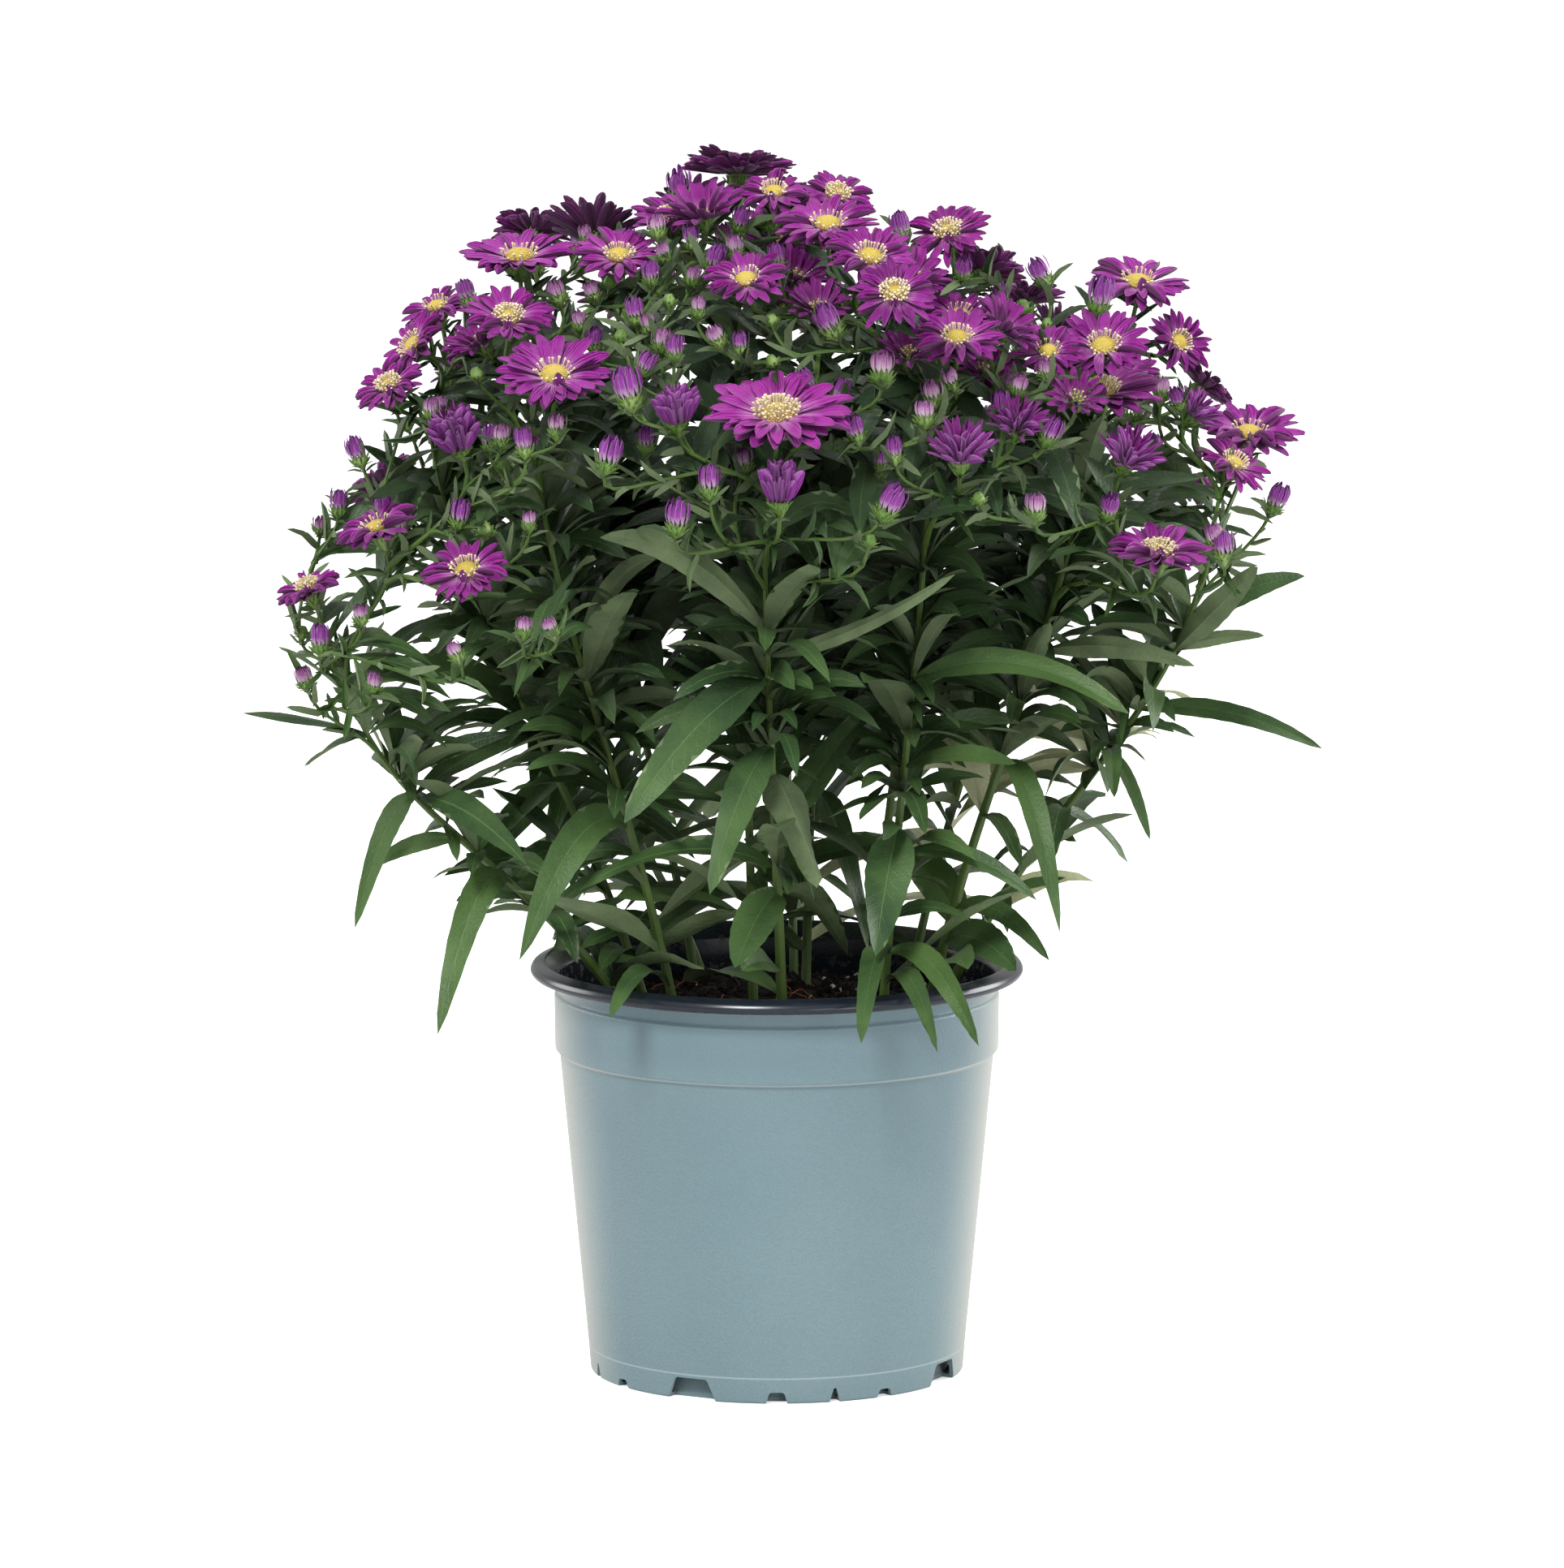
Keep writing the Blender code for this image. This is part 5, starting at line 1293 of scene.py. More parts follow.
def makePetalFinish(name, backEdge):
    # backEdge is how strongly the back's border takes the pale colour of the foot
    finish = Finish(name + "Ray", 0.52, 0.3, 0.12)
    _, _, along, edge = finish.group(veins, ribWidth=0.3, veinCount=4.0, slant=0.2)
    groove = finish.group(lines, count=7.0, waver=0.5, waverScale=160.0)[0]
    skin = finish.mottle(name + "Deep", name + "Bright", 90.0)[0]
    colour = finish.blend(finish.attribute("tone") * 0.35, skin, colours["petalTone"])
    colour = finish.blend(groove * 0.4, colour, colours["petalGroove"])
    colour = finish.blend(along.between(0.0, 0.42).rest() * 0.85, colour, colours[name + "Foot"])
    low = finish.blend(groove, colours[name + "BackDeep"], colours[name + "Back"])
    low = finish.blend(edge.between(0.5, 1.0) * backEdge, low, colours[name + "Foot"])
    return finish.cover(finish.blend(finish.attribute("under"), colour, low), groove, 0.00018)


def makeBudFinish(label, name):
    finish = Finish(label, 0.5, 0.35)
    base, middle, tip, line = (name + end for end in ("Base", "Middle", "Tip", "Line"))
    _, _, along, edge = finish.group(veins, ribWidth=0.2, veinCount=4.0, slant=0.2)
    groove = finish.group(lines, count=4.0, waver=0.4, waverScale=300.0)[0]
    colour = finish.ramp(along, [(0.08, base), (0.32, middle), (0.66, tip)])
    colour = finish.blend(edge.between(0.6, 1.0) * 0.45, colour, colours[base])
    colour = finish.blend(groove ** 2.0 * along.between(0.1, 0.6) * 0.75, colour, colours[line])
    colour = finish.blend(finish.attribute("tone") * 0.25, colour, colours[middle])
    return finish.cover(colour, groove, 0.00015)


def makeFloretFinish():
    finish = Finish("floret", 0.55, 0.35)
    grain, amount = finish.mottle("pollenDark", "pollenLight", 900.0, 2.0)
    colour = finish.ramp(finish.attribute("tone"), [
        (0.0, "discMiddle"), (0.3, "discInner"), (0.72, "discOuter"), (0.85, "pinPale"), (1.0, "pinPalest")])
    return finish.cover(finish.blend(0.16, colour, grain), amount, 0.0001)


def heightLine(height, middle, width):
    return (height - middle * mm).do("ABSOLUTE").between(0.0, width * mm).rest()


# Heights in millimetres between which the pot's outside darkens with painted shade, and how much.
potLook = {"shades": ((30, 125, 0.26), (108, 122, 0.24)), "marks": (0.3, -0.1), "edge": (0.4, 1.0),
           "edgeShare": 0.75, "line": 0.7, "topLine": 0.2, "clean": (136, 140), "specks": (0.7, 0.95)}


def makePotOutside():
    finish, look = Finish("potOutside", 0.4, 0.45), potLook
    height = finish.height()
    cloud, cloudAmount = finish.mottle("potDeep", "potOutside", 16.0)
    grain = finish.mottle("potOutside", "potLine", 1400.0, 2.0, 0.6)[1]
    colour = finish.blend(grain * 0.12, cloud, colours["potLine"])
    neck = height.between((pot["collarTop"] - 0.4) * mm, (pot["collarTop"] + 1.2) * mm)
    # painted shade: the body darkens towards the collar, and the collar more, as the foliage above shades it
    lower, upper = (height.between(low * mm, high * mm) * share for low, high, share in look["shades"])
    colour = finish.blend(lower + upper, colour, colours["potNeck"])
    marks = finish.mottle("black", "white", 55.0, 1.0, 0.6)[1]
    colour = finish.blend(neck * marks.do("MULTIPLY_ADD", *look["marks"]), colour, colours["potNeck"])
    # painted highlights: thin pale lines at the collar's top and foot, at the crease and below the rim, where
    # these edges catch the light
    pale = heightLine(height, pot["collarTop"] - 0.4, 0.5) * look["topLine"]
    low, crease, high = pot["collarFoot"] - 0.3, pot["creaseHeight"], pot["rimHeight"] - 6.0
    for middle, width in ((low, 0.6), (crease, 0.5), (high, 0.5)):
        pale = pale.do("MAXIMUM", heightLine(height, middle, width))
    colour = finish.blend(pale * look["line"], colour, colours["potLine"])
    # the bright studio whitens the pot where it turns away from the viewer
    grazing = finish.value("ShaderNodeLayerWeight", {"Blend": 0.5}, "Facing")
    colour = finish.blend(grazing.between(*look["edge"]) * look["edgeShare"], colour, colours["potEdge"])
    finish.setSurface("Roughness", cloudAmount * 0.12 + 0.36)
    return finish.cover(colour, cloudAmount * 1.4 + grain, 0.00008)


def makePotInside():
    finish = Finish("potInside", 0.26, 0.5)
    cloud, amount = finish.mottle("potInside", "potInsideLight", 30.0, 4.0)
    dust = finish.mottle("black", "white", 300.0, 6.0, 0.7)[1]
    clean = finish.height().between(*(height * mm for height in potLook["clean"]))
    speck = dust.between(*potLook["specks"]) * clean.rest()
    finish.setSurface("Roughness", speck * 0.3 + 0.24)
    return finish.cover(finish.blend(speck * 0.3, cloud, colours["dust"]), amount, 0.00006)


def makeSoilFinish(name, scale):
    finish = Finish(name, 0.92, 0.2)
    crumb, amount = finish.mottle(name + "Dark", name + "Light", scale, 6.0, 0.6)
    colour = finish.blend(finish.attribute("tone") * 0.4, crumb, colours[name + "Light"])
    return finish.cover(colour, amount, 0.0006)


# One petal finish is a darker copy of the others: painted shade for the heads that face away.
finishes = {
    "leaf": makeLeafFinish(), "stem": makeStemFinish(), "sepal": makeSepalFinish(),
    "petal": makePetalFinish("petal", 0.15), "opening": makePetalFinish("opening", 0.42),
    "faded": makePetalFinish("faded", 0.1), "bud": makeBudFinish("budRay", "bud"),
    "palebud": makeBudFinish("budPale", "pale"), "floret": makeFloretFinish(), "potOutside": makePotOutside(),
    "potInside": makePotInside(), "soil": makeSoilFinish("soil", 420.0),
    "perlite": makeSoilFinish("perlite", 900.0), "root": makeSoilFinish("root", 500.0),
}
print("finishes made:", len(finishes))


# A closed blade, from the place of each row and column on its upper (1) and lower (-1) side.
def gridShape(rows, columns, placeAt):
    across = [2 * column / columns - 1 for column in range(columns + 1)]
    top, low = (np.array([[placeAt(v, u, side) for u in across] for v in rows]) for side in (1, -1))
    return layBlade(top, low), bladeForm(len(rows) - 1, columns)


def petalShape(arch, curl, tuck, lean=0.0, shoulder=0.54):
    # a strap, narrow at its foot and bluntly pointed at its tip, with two shallow grooves
    def placeAt(v, u, side):
        half = 0.5 * (0.42 + 0.58 * min(v / 0.5, 1.0) ** 0.8)
        half *= math.sqrt(max(1.0 - (max(v - shoulder, 0.0) / (1.005 - shoulder)) ** 2, 0.0)) ** 1.35
        rise = arch * math.sin(math.pi * v) * 0.5 + curl * max(v - 0.45, 0.0) ** 2
        groove = itemSizes["groove"] if abs(abs(u) - 0.5) < 0.1 else 0.0
        thick = side * 0.5 * itemSizes["petalThick"] * (1 - u * u)
        return v, u * half + lean * v * v, rise + tuck * u * u * half - groove + thick
    return gridShape(itemSizes["petalRows"], 4, placeAt)


def bractShape(arch, curl, rows):
    def placeAt(v, u, side):
        half = 0.5 * (0.5 + 1.3 * v) * (1 - v) ** 0.75
        rise = arch * math.sin(math.pi * v) * 0.5 + curl * v * v + 0.35 * half * abs(u)
        return v, u * half, rise + side * 0.5 * itemSizes["bractThick"] * (1 - abs(u))
    return gridShape(itemSizes[rows], 2, placeAt)


def budPetalShape(swell, close):
    # a petal of a closed bud, laid on a barrel that stands on the origin
    def placeAt(v, u, side):
        reach = 0.74 + swell * math.sin(math.pi * v * 0.8) - close * max(v - 0.6, 0.0) ** 1.6
        half = itemSizes["budFan"] * (0.85 + 0.2 * v)
        half *= math.sqrt(max(1.0 - (max(v - 0.66, 0.0) / 0.345) ** 2, 0.0))
        reach += (side * 0.5 * itemSizes["budThick"] + 0.03) * (1 - u * u)
        return reach * math.cos(u * half), -reach * math.sin(u * half), v
    return gridShape(itemSizes["budRows"], 2, placeAt)


def knobShape(tall):
    return turnedShape([(0, -0.4), (0.95, tall * 0.35), (0, tall)], 6)


def pinShape(flare, bend):
    points, form = turnedShape([(0, -0.1), (0.08, 0.0), (0.07, 0.6), (flare, 0.9), (0, 1.0)], 4)
    points[:, 0] += bend * points[:, 2] ** 2
    return points, form


def lumpShape(seed, flat):
    shape = bmesh.new()
    bmesh.ops.create_icosphere(shape, subdivisions=1, radius=0.5)
    draw = random.Random(seed)
    for vertex in shape.verts:
        vertex.co *= draw.uniform(0.7, 1.25)
        vertex.co.z *= flat
    points = np.array([vertex.co[:] for vertex in shape.verts])
    faces = [[vertex.index for vertex in face.verts] for face in shape.faces]
    shape.free()
    return points, formOf(faces)


# The small shapes that the trees repeat. Each is one unit long and stands on the origin. A row gives
# arch, curl, tuck, lean and shoulder for a petal, and for the others what their functions ask for.
itemSizes = {"petalRows": (0.0, 0.2, 0.44, 0.66, 0.84, 0.95, 1.0), "bractRows": (0.0, 0.25, 0.6, 0.86, 1.0),
             "scaleRows": (0.0, 0.4, 0.78, 1.0), "budRows": (0.0, 0.4, 0.72, 0.9, 1.0), "petalThick": 0.02,
             "bractThick": 0.06, "budThick": 0.07, "budFan": 0.24, "groove": 0.012}
itemRows = {
    "ray": (petalShape, (0.02, 0.0, 0.12), (0.02, 0.2, 0.3, 0.08), (0.03, -0.12, 0.1, -0.08),
            (0.02, 0.1, 0.6, 0.04)),
    "broadRay": (petalShape, (0.02, 0.0, 0.1, 0.0, 0.7), (0.02, 0.08, 0.2, 0.04, 0.68),
                 (0.03, -0.06, 0.1, -0.04, 0.74), (0.02, 0.04, 0.3, 0.02, 0.7)),
    "tongue": (petalShape, (0.1, 0.7, -0.2, 0.0, 0.3)),
    "brushRay": (petalShape, (-0.04, 0.2, 0.5, 0.0, 0.6), (-0.02, 0.3, 0.7, 0.04, 0.5),
                 (-0.04, 0.1, 0.4, -0.04, 0.56), (0.0, 0.36, 0.8, 0.0, 0.5)),
    "bract": (bractShape, (0.10, -0.10, "bractRows"), (0.04, 0.18, "bractRows"), (0.14, -0.28, "bractRows")),
    "scale": (bractShape, (0.10, -0.16, "scaleRows"), (0.06, -0.05, "scaleRows"), (0.12, 0.06, "scaleRows")),
    "budPetal": (budPetalShape, (0.24, 0.9), (0.3, 0.2), (0.22, 1.3)),
    "knob": (knobShape, (1.0,), (1.35,)),
    "pin": (pinShape, (0.16, 0.1), (0.2, 0.25), (0.14, 0.0)),
    "lump": (lumpShape, (1, 0.8), (2, 0.5), (3, 0.65), (4, 0.9)),
    "chip": (lumpShape, (5, 0.25), (6, 0.3), (7, 0.2)),
}


def newItems(name, shapeOf, *rows):
    group = bpy.data.collections.new(name)
    for index, row in enumerate(rows):
        bag = Bag(f"{name}{index}")
        bag.add(*shapeOf(*row), None)
        item = bag.build()
        item.data.materials.clear()
        bpy.context.scene.collection.objects.unlink(item)
        group.objects.link(item)
    return group


items = {name: newItems(name, *row) for name, row in itemRows.items()}


def addWhorl(bag, stand, kind, finish, count, seed, tone=0.0, **values):
    values.setdefault("depth", values["length"])
    bag.addMesh(grow(whorlTree, kind, finish, count=count, seed=float(seed), **values), stand, tone)


def addTurned(bag, stand, section, sides, finish, scale=mm):
    points, form = turnedShape(section, sides)
    bag.add(moved(points * scale, stand), form, finishes[finish], 0.3)


# Heads in millimetres. A cup's rows of scales have their count, share of the disc's radius, height,
# lift, length and width. A bud's have their count, reach, height, lift and length as shares.
cupSizes = {"sides": 10, "rows": ((9, 0.34, 0.8, 58, 3.4, 1.7), (12, 0.54, 2.6, 66, 4.3, 1.9)),
            "section": ((0.30, 0.6), (0.50, 2.4), (0.62, 4.6), (0.66, 6.1))}
budSizes = {"cup": 0.3, "greenCup": 0.92, "top": {"green": 0.62, "purple": 0.44, "pale": 0.44}, "petals": 0.35,
            "palePetals": 0.88, "tall": {"purple": 0.76, "pale": 0.56}, "layers": (12, 8, 5), "petalFoot": 0.36,
            "scaleWidth": 0.14, "rows": ((7, 0.6, 0.04, 36, 0.26), (10, 0.92, 0.14, 56, 0.28)),
            "lastRow": {"green": (10, 0.98, 0.26, 116, 0.30), "purple": (11, 0.98, 0.26, 74, 0.28),
                        "pale": (11, 0.98, 0.26, 74, 0.28)}}
# Buds by number: pale ones with streaked tips and green ones. The rest show their purple petals.
budLooks = {"pale": range(21, 37), "green": (37, 38, 39, 40, 41, 103, 105),
            "fill": ("pale", "purple", "green", "purple", "pale")}


def addCup(bag, stand, disc, seed):
    # the green cup of a bloom, with two rows of overlapping scales
    rings = [(disc * share, height) for share, height in cupSizes["section"]]
    addTurned(bag, stand, [(0, -0.8), (0.9, -0.8), *rings, (0, 6.15)], cupSizes["sides"], "sepal")
    for count, reach, height, lift, length, width in cupSizes["rows"]:
        addWhorl(bag, stand, "scale", "sepal", count, seed, radius=disc * reach * mm, height=height * mm,
                 firstTurn=seed * 0.7, lift=math.radians(lift), liftSpread=0.12, length=length * mm,
                 lengthSpread=0.12, width=width * mm)


def addRuff(bag, stand, reach, height, seed, count=5, length=7.5):
    # small bracts that crowd under a head
    addWhorl(bag, stand, "bract", "leaf", count, seed, 0.25, radius=reach * mm, height=height * mm,
             firstTurn=seed * 0.37, turnSpread=0.4, lift=0.75, liftSpread=0.35, rollSpread=0.4,
             length=length * mm, lengthSpread=0.3, width=length * 0.24 * mm)


def budKind(number):
    if number >= fillSizes["firstBud"]:
        return budLooks["fill"][number % 5]
    return "pale" if number in budLooks["pale"] else "green" if number in budLooks["green"] else "purple"


def addBud(bag, stand, length, kind, seed):
    size, top = length / mm, budSizes["top"][kind]
    wide = size * budSizes["cup"] * (budSizes["greenCup"] if kind == "green" else 1.0)
    addTurned(bag, stand, [(0, -0.5), (0.7, -0.5), (wide * 0.5, 0.04 * size), (wide * 0.88, 0.16 * size),
                           (wide, 0.28 * size), (wide * 0.94, 0.38 * size), (wide * 0.55, (top - 0.03) * size),
                           (0, top * size)], 8, "sepal")
    for count, reach, height, lift, long in (*budSizes["rows"], budSizes["lastRow"][kind]):
        addWhorl(bag, stand, "scale", "sepal", count, seed, radius=wide * reach * mm, height=size * height * mm,
                 firstTurn=seed * 0.9 + height * 7, lift=math.radians(lift), liftSpread=0.2,
                 length=size * long * mm, lengthSpread=0.2, width=size * budSizes["scaleWidth"] * mm)
    addRuff(bag, stand, 0.5, -2.0, seed, 4, 5.5)
    if kind == "green":
        return
    tall, radius = budSizes["tall"][kind] * size, budSizes["petals"] * size
    radius *= budSizes["palePetals"] if kind == "pale" else 1.0
    for layer, count in enumerate(budSizes["layers"]):
        reach, high = radius * (1 - 0.3 * layer), tall * (1 + 0.04 * layer)
        addWhorl(bag, stand, "budPetal", "palebud" if kind == "pale" else "bud", count, seed, radius=0.0,
                 height=size * budSizes["petalFoot"] * mm, firstTurn=seed * 1.3 + layer, turnSpread=0.06,
                 lift=0.0, liftSpread=0.07, rollSpread=0.05, length=reach * mm, depth=high * mm,
                 lengthSpread=0.14, width=reach * mm * 13 / count)


def addRays(bag, stand, count, start, height, lift, length, width, seed, kind="ray", finish="petal", tone=0.0):
    addWhorl(bag, stand, kind, finish, count, seed, tone, radius=start, height=height,
             firstTurn=seed * math.pi / count, turnSpread=0.6 / count, lift=lift, liftSpread=0.11,
             rollSpread=0.3, length=length, lengthSpread=0.15, width=width, choices=4.0)


# Half-open flowers: layers of petals with their count, start, lift, length and width. Wide ones already
# spread like a fan, narrow ones still stand like a brush, and fading ones are old.
openSizes = {
    "wide": ((14, 3.2, 36, 1.15, 0.2), (13, 2.8, 50, 1.25, 0.19), (11, 2.2, 64, 1.25, 0.18),
             (7, 1.2, 78, 1.1, 0.17)),
    "narrow": ((18, 3.9, 66, 1.5, 0.17), (15, 3.3, 74, 1.7, 0.16), (12, 2.4, 80, 1.8, 0.16),
               (7, 1.2, 86, 1.75, 0.16)),
    "fading": ((13, 3.2, 24, 1.05, 0.28), (12, 2.8, 42, 1.0, 0.27), (8, 2.2, 60, 0.9, 0.25)),
    "narrowOnes": (2, 3, 4), "height": 5.4, "pins": 22, "pinLength": 2.6, "pinHeight": 5.2, "disc": 2.2,
    "petals": {"narrow": "brushRay", "fading": "broadRay"},
}


def addOpening(bag, stand, radius, seed, number):
    # a half-open flower: its petals still stand up round the disc
    addCup(bag, stand, 5.0, seed)
    addRuff(bag, stand, 0.7, -1.5, seed)
    fading = number >= fillSizes["firstFading"]
    kind = "fading" if fading else "narrow" if number in openSizes["narrowOnes"] else "wide"
    # heads that face away take the darkest petal finish, which is painted shade
    away = stand.col[2].y > -0.1
    finish = "opening" if not fading else "faded" if away else "petal"
    for count, start, lift, long, wide in openSizes[kind]:
        addRays(bag, stand, count, start * mm, openSizes["height"] * mm, math.radians(lift), radius * long,
                radius * wide, seed + count, openSizes["petals"].get(kind, "ray"), finish)
    if fading:
        mesh = grow(floretTree, "pin", "floret", choices=3.0, count=openSizes["pins"], seed=float(seed),
                    whole=float(openSizes["pins"]), discRadius=openSizes["disc"] * mm,
                    height=openSizes["pinHeight"] * mm, lean=0.5, size=openSizes["pinLength"] * mm)
        bag.addMesh(mesh, stand, 0.3)


# Blooms: layers of rays with their height, extra lift and share of the length, the extra layers of
# blooms that face away, and by age the pins' first place on the spiral and their count, at most.
headSizes = {"rays": 17, "raysSmall": 14, "raysBroad": 21, "smallBelow": 14.0, "broadAbove": 18.0,
             "layers": ((0.2, -0.06, 1.0), (0.7, 0.0, 0.94)), "shortRays": 4,
             "awayLayers": ((0.2, 0.92), (0.42, 0.76)), "petalWidth": 0.225, "petalStart": 0.55,
             "tongueLift": 1.85, "tongueLeast": 3.4, "tongueWidth": 0.85, "hub": ((0.6, -0.2), (0.64, 1.0)),
             "hubTop": 1.1, "knob": 0.42, "knobShare": 0.72, "knobs": (110, 260), "pin": 3.1, "pinLean": 0.42,
             "discWide": 0.86, "dome": 0.36,
             "ages": (("dense", 50, 46), ("all", 12, 110), ("sparse", 56, 24))}


def addAllRays(bag, bloom, number):
    radius, disc, stand, lift = bloom["radius"], bloom["disc"], bloom["stand"], math.radians(bloom["lift"])
    broad, small = radius / mm > headSizes["broadAbove"], radius / mm < headSizes["smallBelow"]
    kind = "broadRay" if broad else "ray"
    rays = headSizes["raysBroad" if broad else "raysSmall" if small else "rays"]
    start, width = disc * headSizes["petalStart"], radius * headSizes["petalWidth"]
    reach = radius - start
    shade = -0.7 if number == 1 else (number * 0.37) % 1 - 0.5
    for layer, (height, extra, share) in enumerate(headSizes["layers"]):
        length = reach / math.cos(lift) * share
        addRays(bag, stand, rays - layer, start, height * mm, lift + extra, length, width,
                number * 2 + layer, kind, tone=shade)
    addRays(bag, stand, headSizes["shortRays"], start, 0.9 * mm, lift + 0.05, reach * 0.8, width * 0.9,
            number * 7 + 5, kind, tone=shade)
    if number <= len(bloomRows) and stand.col[2].y > 0.1:
        # the blooms that face away look fuller, and their extra layers take the darkest petal finish, which is
        # painted shade
        for extra, share in headSizes["awayLayers"]:
            addRays(bag, stand, rays - 4, start, 1.0 * mm, lift + extra, reach * share, width, number * 5 + 3,
                    "broadRay", "faded")


def makeBloom(number, bloom):
    bag = Bag(f"flowerHead{number:02d}")
    disc, stand = bloom["disc"], bloom["stand"]
    addAllRays(bag, bloom, number)
    age, first, count = headSizes["ages"][number % 3]
    if number > 1 and (age == "all" or number % 7 == 5):
        # one short petal, on the viewer's side, still folds over the disc
        front = stand.to_3x3().inverted() @ Vector((0.25 * (number % 3 - 1), -1, 0))
        size = max(disc * 0.85, headSizes["tongueLeast"] * mm)
        addWhorl(bag, stand, "tongue", "petal", 1, number, choices=1.0, radius=disc * 1.08, height=1.2 * mm,
                 firstTurn=math.atan2(front.y, front.x), turnSpread=0.0, lift=headSizes["tongueLift"],
                 liftSpread=0.1, length=size, width=size * headSizes["tongueWidth"])
    top, dome = bloomSizes["hubHeight"] * mm, disc * headSizes["dome"]
    rings = [(disc * share, height * mm) for share, height in headSizes["hub"]]
    section = [(0, rings[0][1]), *rings, (0, headSizes["hubTop"] * mm)]
    addTurned(bag, stand, section, cupSizes["sides"], "sepal", 1)
    section = [(0, 0.8 * mm), (disc * 0.6, 0.8 * mm), (disc * 0.7, 1.4 * mm), (disc * 0.74, 2.1 * mm),
               (disc * 0.55, top + dome * 0.45), (disc * 0.28, top + dome * 0.8), (0, top + dome * 0.9)]
    addTurned(bag, stand, section, 20, "floret", 1)
    wide = disc * headSizes["discWide"]
    fewest, most = headSizes["knobs"]
    knobs = min(max(round(wide / (headSizes["knob"] * mm)) ** 2, fewest), most)
    common = {"discRadius": wide, "dome": dome, "height": 2.0 * mm, "seed": float(number + 3)}
    # the front bloom's own florets are pale
    aged = 0.25 if number == 1 else 0.1 * (number % 3) - 0.1
    mesh = grow(floretTree, "knob", "floret", choices=2.0, first=0.0, whole=float(knobs), lean=0.5,
                count=round(knobs * headSizes["knobShare"]), size=wide / math.sqrt(knobs) * 0.84, **common)
    bag.addMesh(mesh, stand, aged)
    fewer = 0.45 + 0.55 * min(disc / mm / 8.5, 1.0)
    first, count = round(first * fewer), round(count * fewer)
    mesh = grow(floretTree, "pin", "floret", choices=3.0, first=float(first), count=count,
                whole=float(first + count), lean=headSizes["pinLean"], sizeSpread=0.22,
                size=headSizes["pin"] * mm * (0.5 + disc / mm * 0.06), **common)
    bag.addMesh(mesh, stand, 0.6)
    return bag.build()


# Drawn leaves: rows of faces for long, other and fill leaves, and their columns as shares of the half width.
leafDetail = {"rows": 18, "rule": 11, "fill": 8, "columns": (-1.0, -0.6, -0.13, 0.0, 0.13, 0.6, 1.0),
              "fillColumns": (-1.0, -0.5, 0.0, 0.5, 1.0), "thick": 0.42, "rib": 0.36, "tooth": 0.022,
              "twist": 30, "fullest": 0.84, "blunt": 0.58, "foot": 0.55, "leastHalf": 0.6, "sunlitTone": 2.0}
leafForms = {(rows, columns): bladeForm(rows, columns)
             for rows in (leafDetail["rows"], leafDetail["rule"], leafDetail["fill"]) for columns in (6, 4)}


def isSunlit(place, draw):
    # some leaves behind on the right are pale in the back light
    right, low, high = fillSizes["sunlitPlace"]
    behind = place.x > right and place.y > 0 and low < place.z < high
    return behind and draw.random() < fillSizes["sunlitShare"]


def addLeaf(bag, leaf, draw):
    filling = leaf.get("fill") in ("small", "crown", "rear", "inner")
    rows = leafDetail["fill" if filling else "rows" if leaf["corners"] == 4 else "rule"]
    shift = np.array(plan["fineRails"][leaf["rail"]][leaf["step"]] - leaf["foot"])
    foot, middle, tip = (np.array(leaf[name]) for name in ("foot", "middle", "tip"))
    v = np.linspace(0, 1, rows + 1)[:, None]
    second, third = foot + (middle - foot) * 0.66, tip + (middle - tip) * 0.66
    rib = foot * (1 - v) ** 3 + second * 3 * v * (1 - v) ** 2 + third * 3 * v * v * (1 - v) + tip * v**3
    rib = rib + shift * (1 - v) ** 2
    along = np.gradient(rib, axis=0)
    along /= np.linalg.norm(along, axis=1)[:, None]
    side = np.cross(along, np.array(leaf["face"]))
    side /= np.linalg.norm(side, axis=1)[:, None]
    face = np.cross(side, along)
    twist = math.radians(draw.uniform(-1, 1) * leafDetail["twist"]) * v
    side, face = side * np.cos(twist) + face * np.sin(twist), face * np.cos(twist) - side * np.sin(twist)
    width = leaf["width"]
    half = width * 0.5 * np.sin(math.pi * v**leafDetail["fullest"]).clip(0) ** leafDetail["blunt"]
    half *= leafDetail["foot"] + (1 - leafDetail["foot"]) * np.clip(v / 0.3, 0, 1)
    half[1:-1] = np.maximum(half[1:-1], leafDetail["leastHalf"] * mm)
    tooth = 1 + leafDetail["tooth"] * (np.arange(rows + 1)[:, None] % 2 * 2 - 1) * (v > 0.3) * (v < 0.93)
    plain = leaf.get("fill") is not None
    u = np.array([leafDetail["fillColumns" if plain else "columns"]])
    reach = half * np.where(np.abs(u) == 1, tooth, 1.0) * u
    wave = width * leafSizes["wave"] * np.sin(7 * v + leaf["phase"] + np.sign(u)) * np.abs(u) ** 1.5
    lift = wave + half * leafSizes["fold"] * np.abs(u) ** 1.2
    body = leafDetail["thick"] * mm * 0.5 * (1 - u * u) * (0.5 + 0.5 * np.minimum(1, (1 - v) * 4))
    ridge = np.where(u == 0, leafDetail["rib"] * mm * (1 - 0.7 * v), 0.0)
    middleLine = rib[:, None, :] + side[:, None, :] * reach[:, :, None]
    top = middleLine + face[:, None, :] * (lift + body - ridge * 0.35)[:, :, None]
    low = middleLine + face[:, None, :] * (lift - body - ridge)[:, :, None]
    tone = draw.random() * (0.5 if plain else 0.8)
    if isSunlit(leaf["tip"] / mm, draw):
        tone = leafDetail["sunlitTone"]
    bag.add(layBlade(top, low), leafForms[rows, 4 if plain else 6], finishes["leaf"], tone)


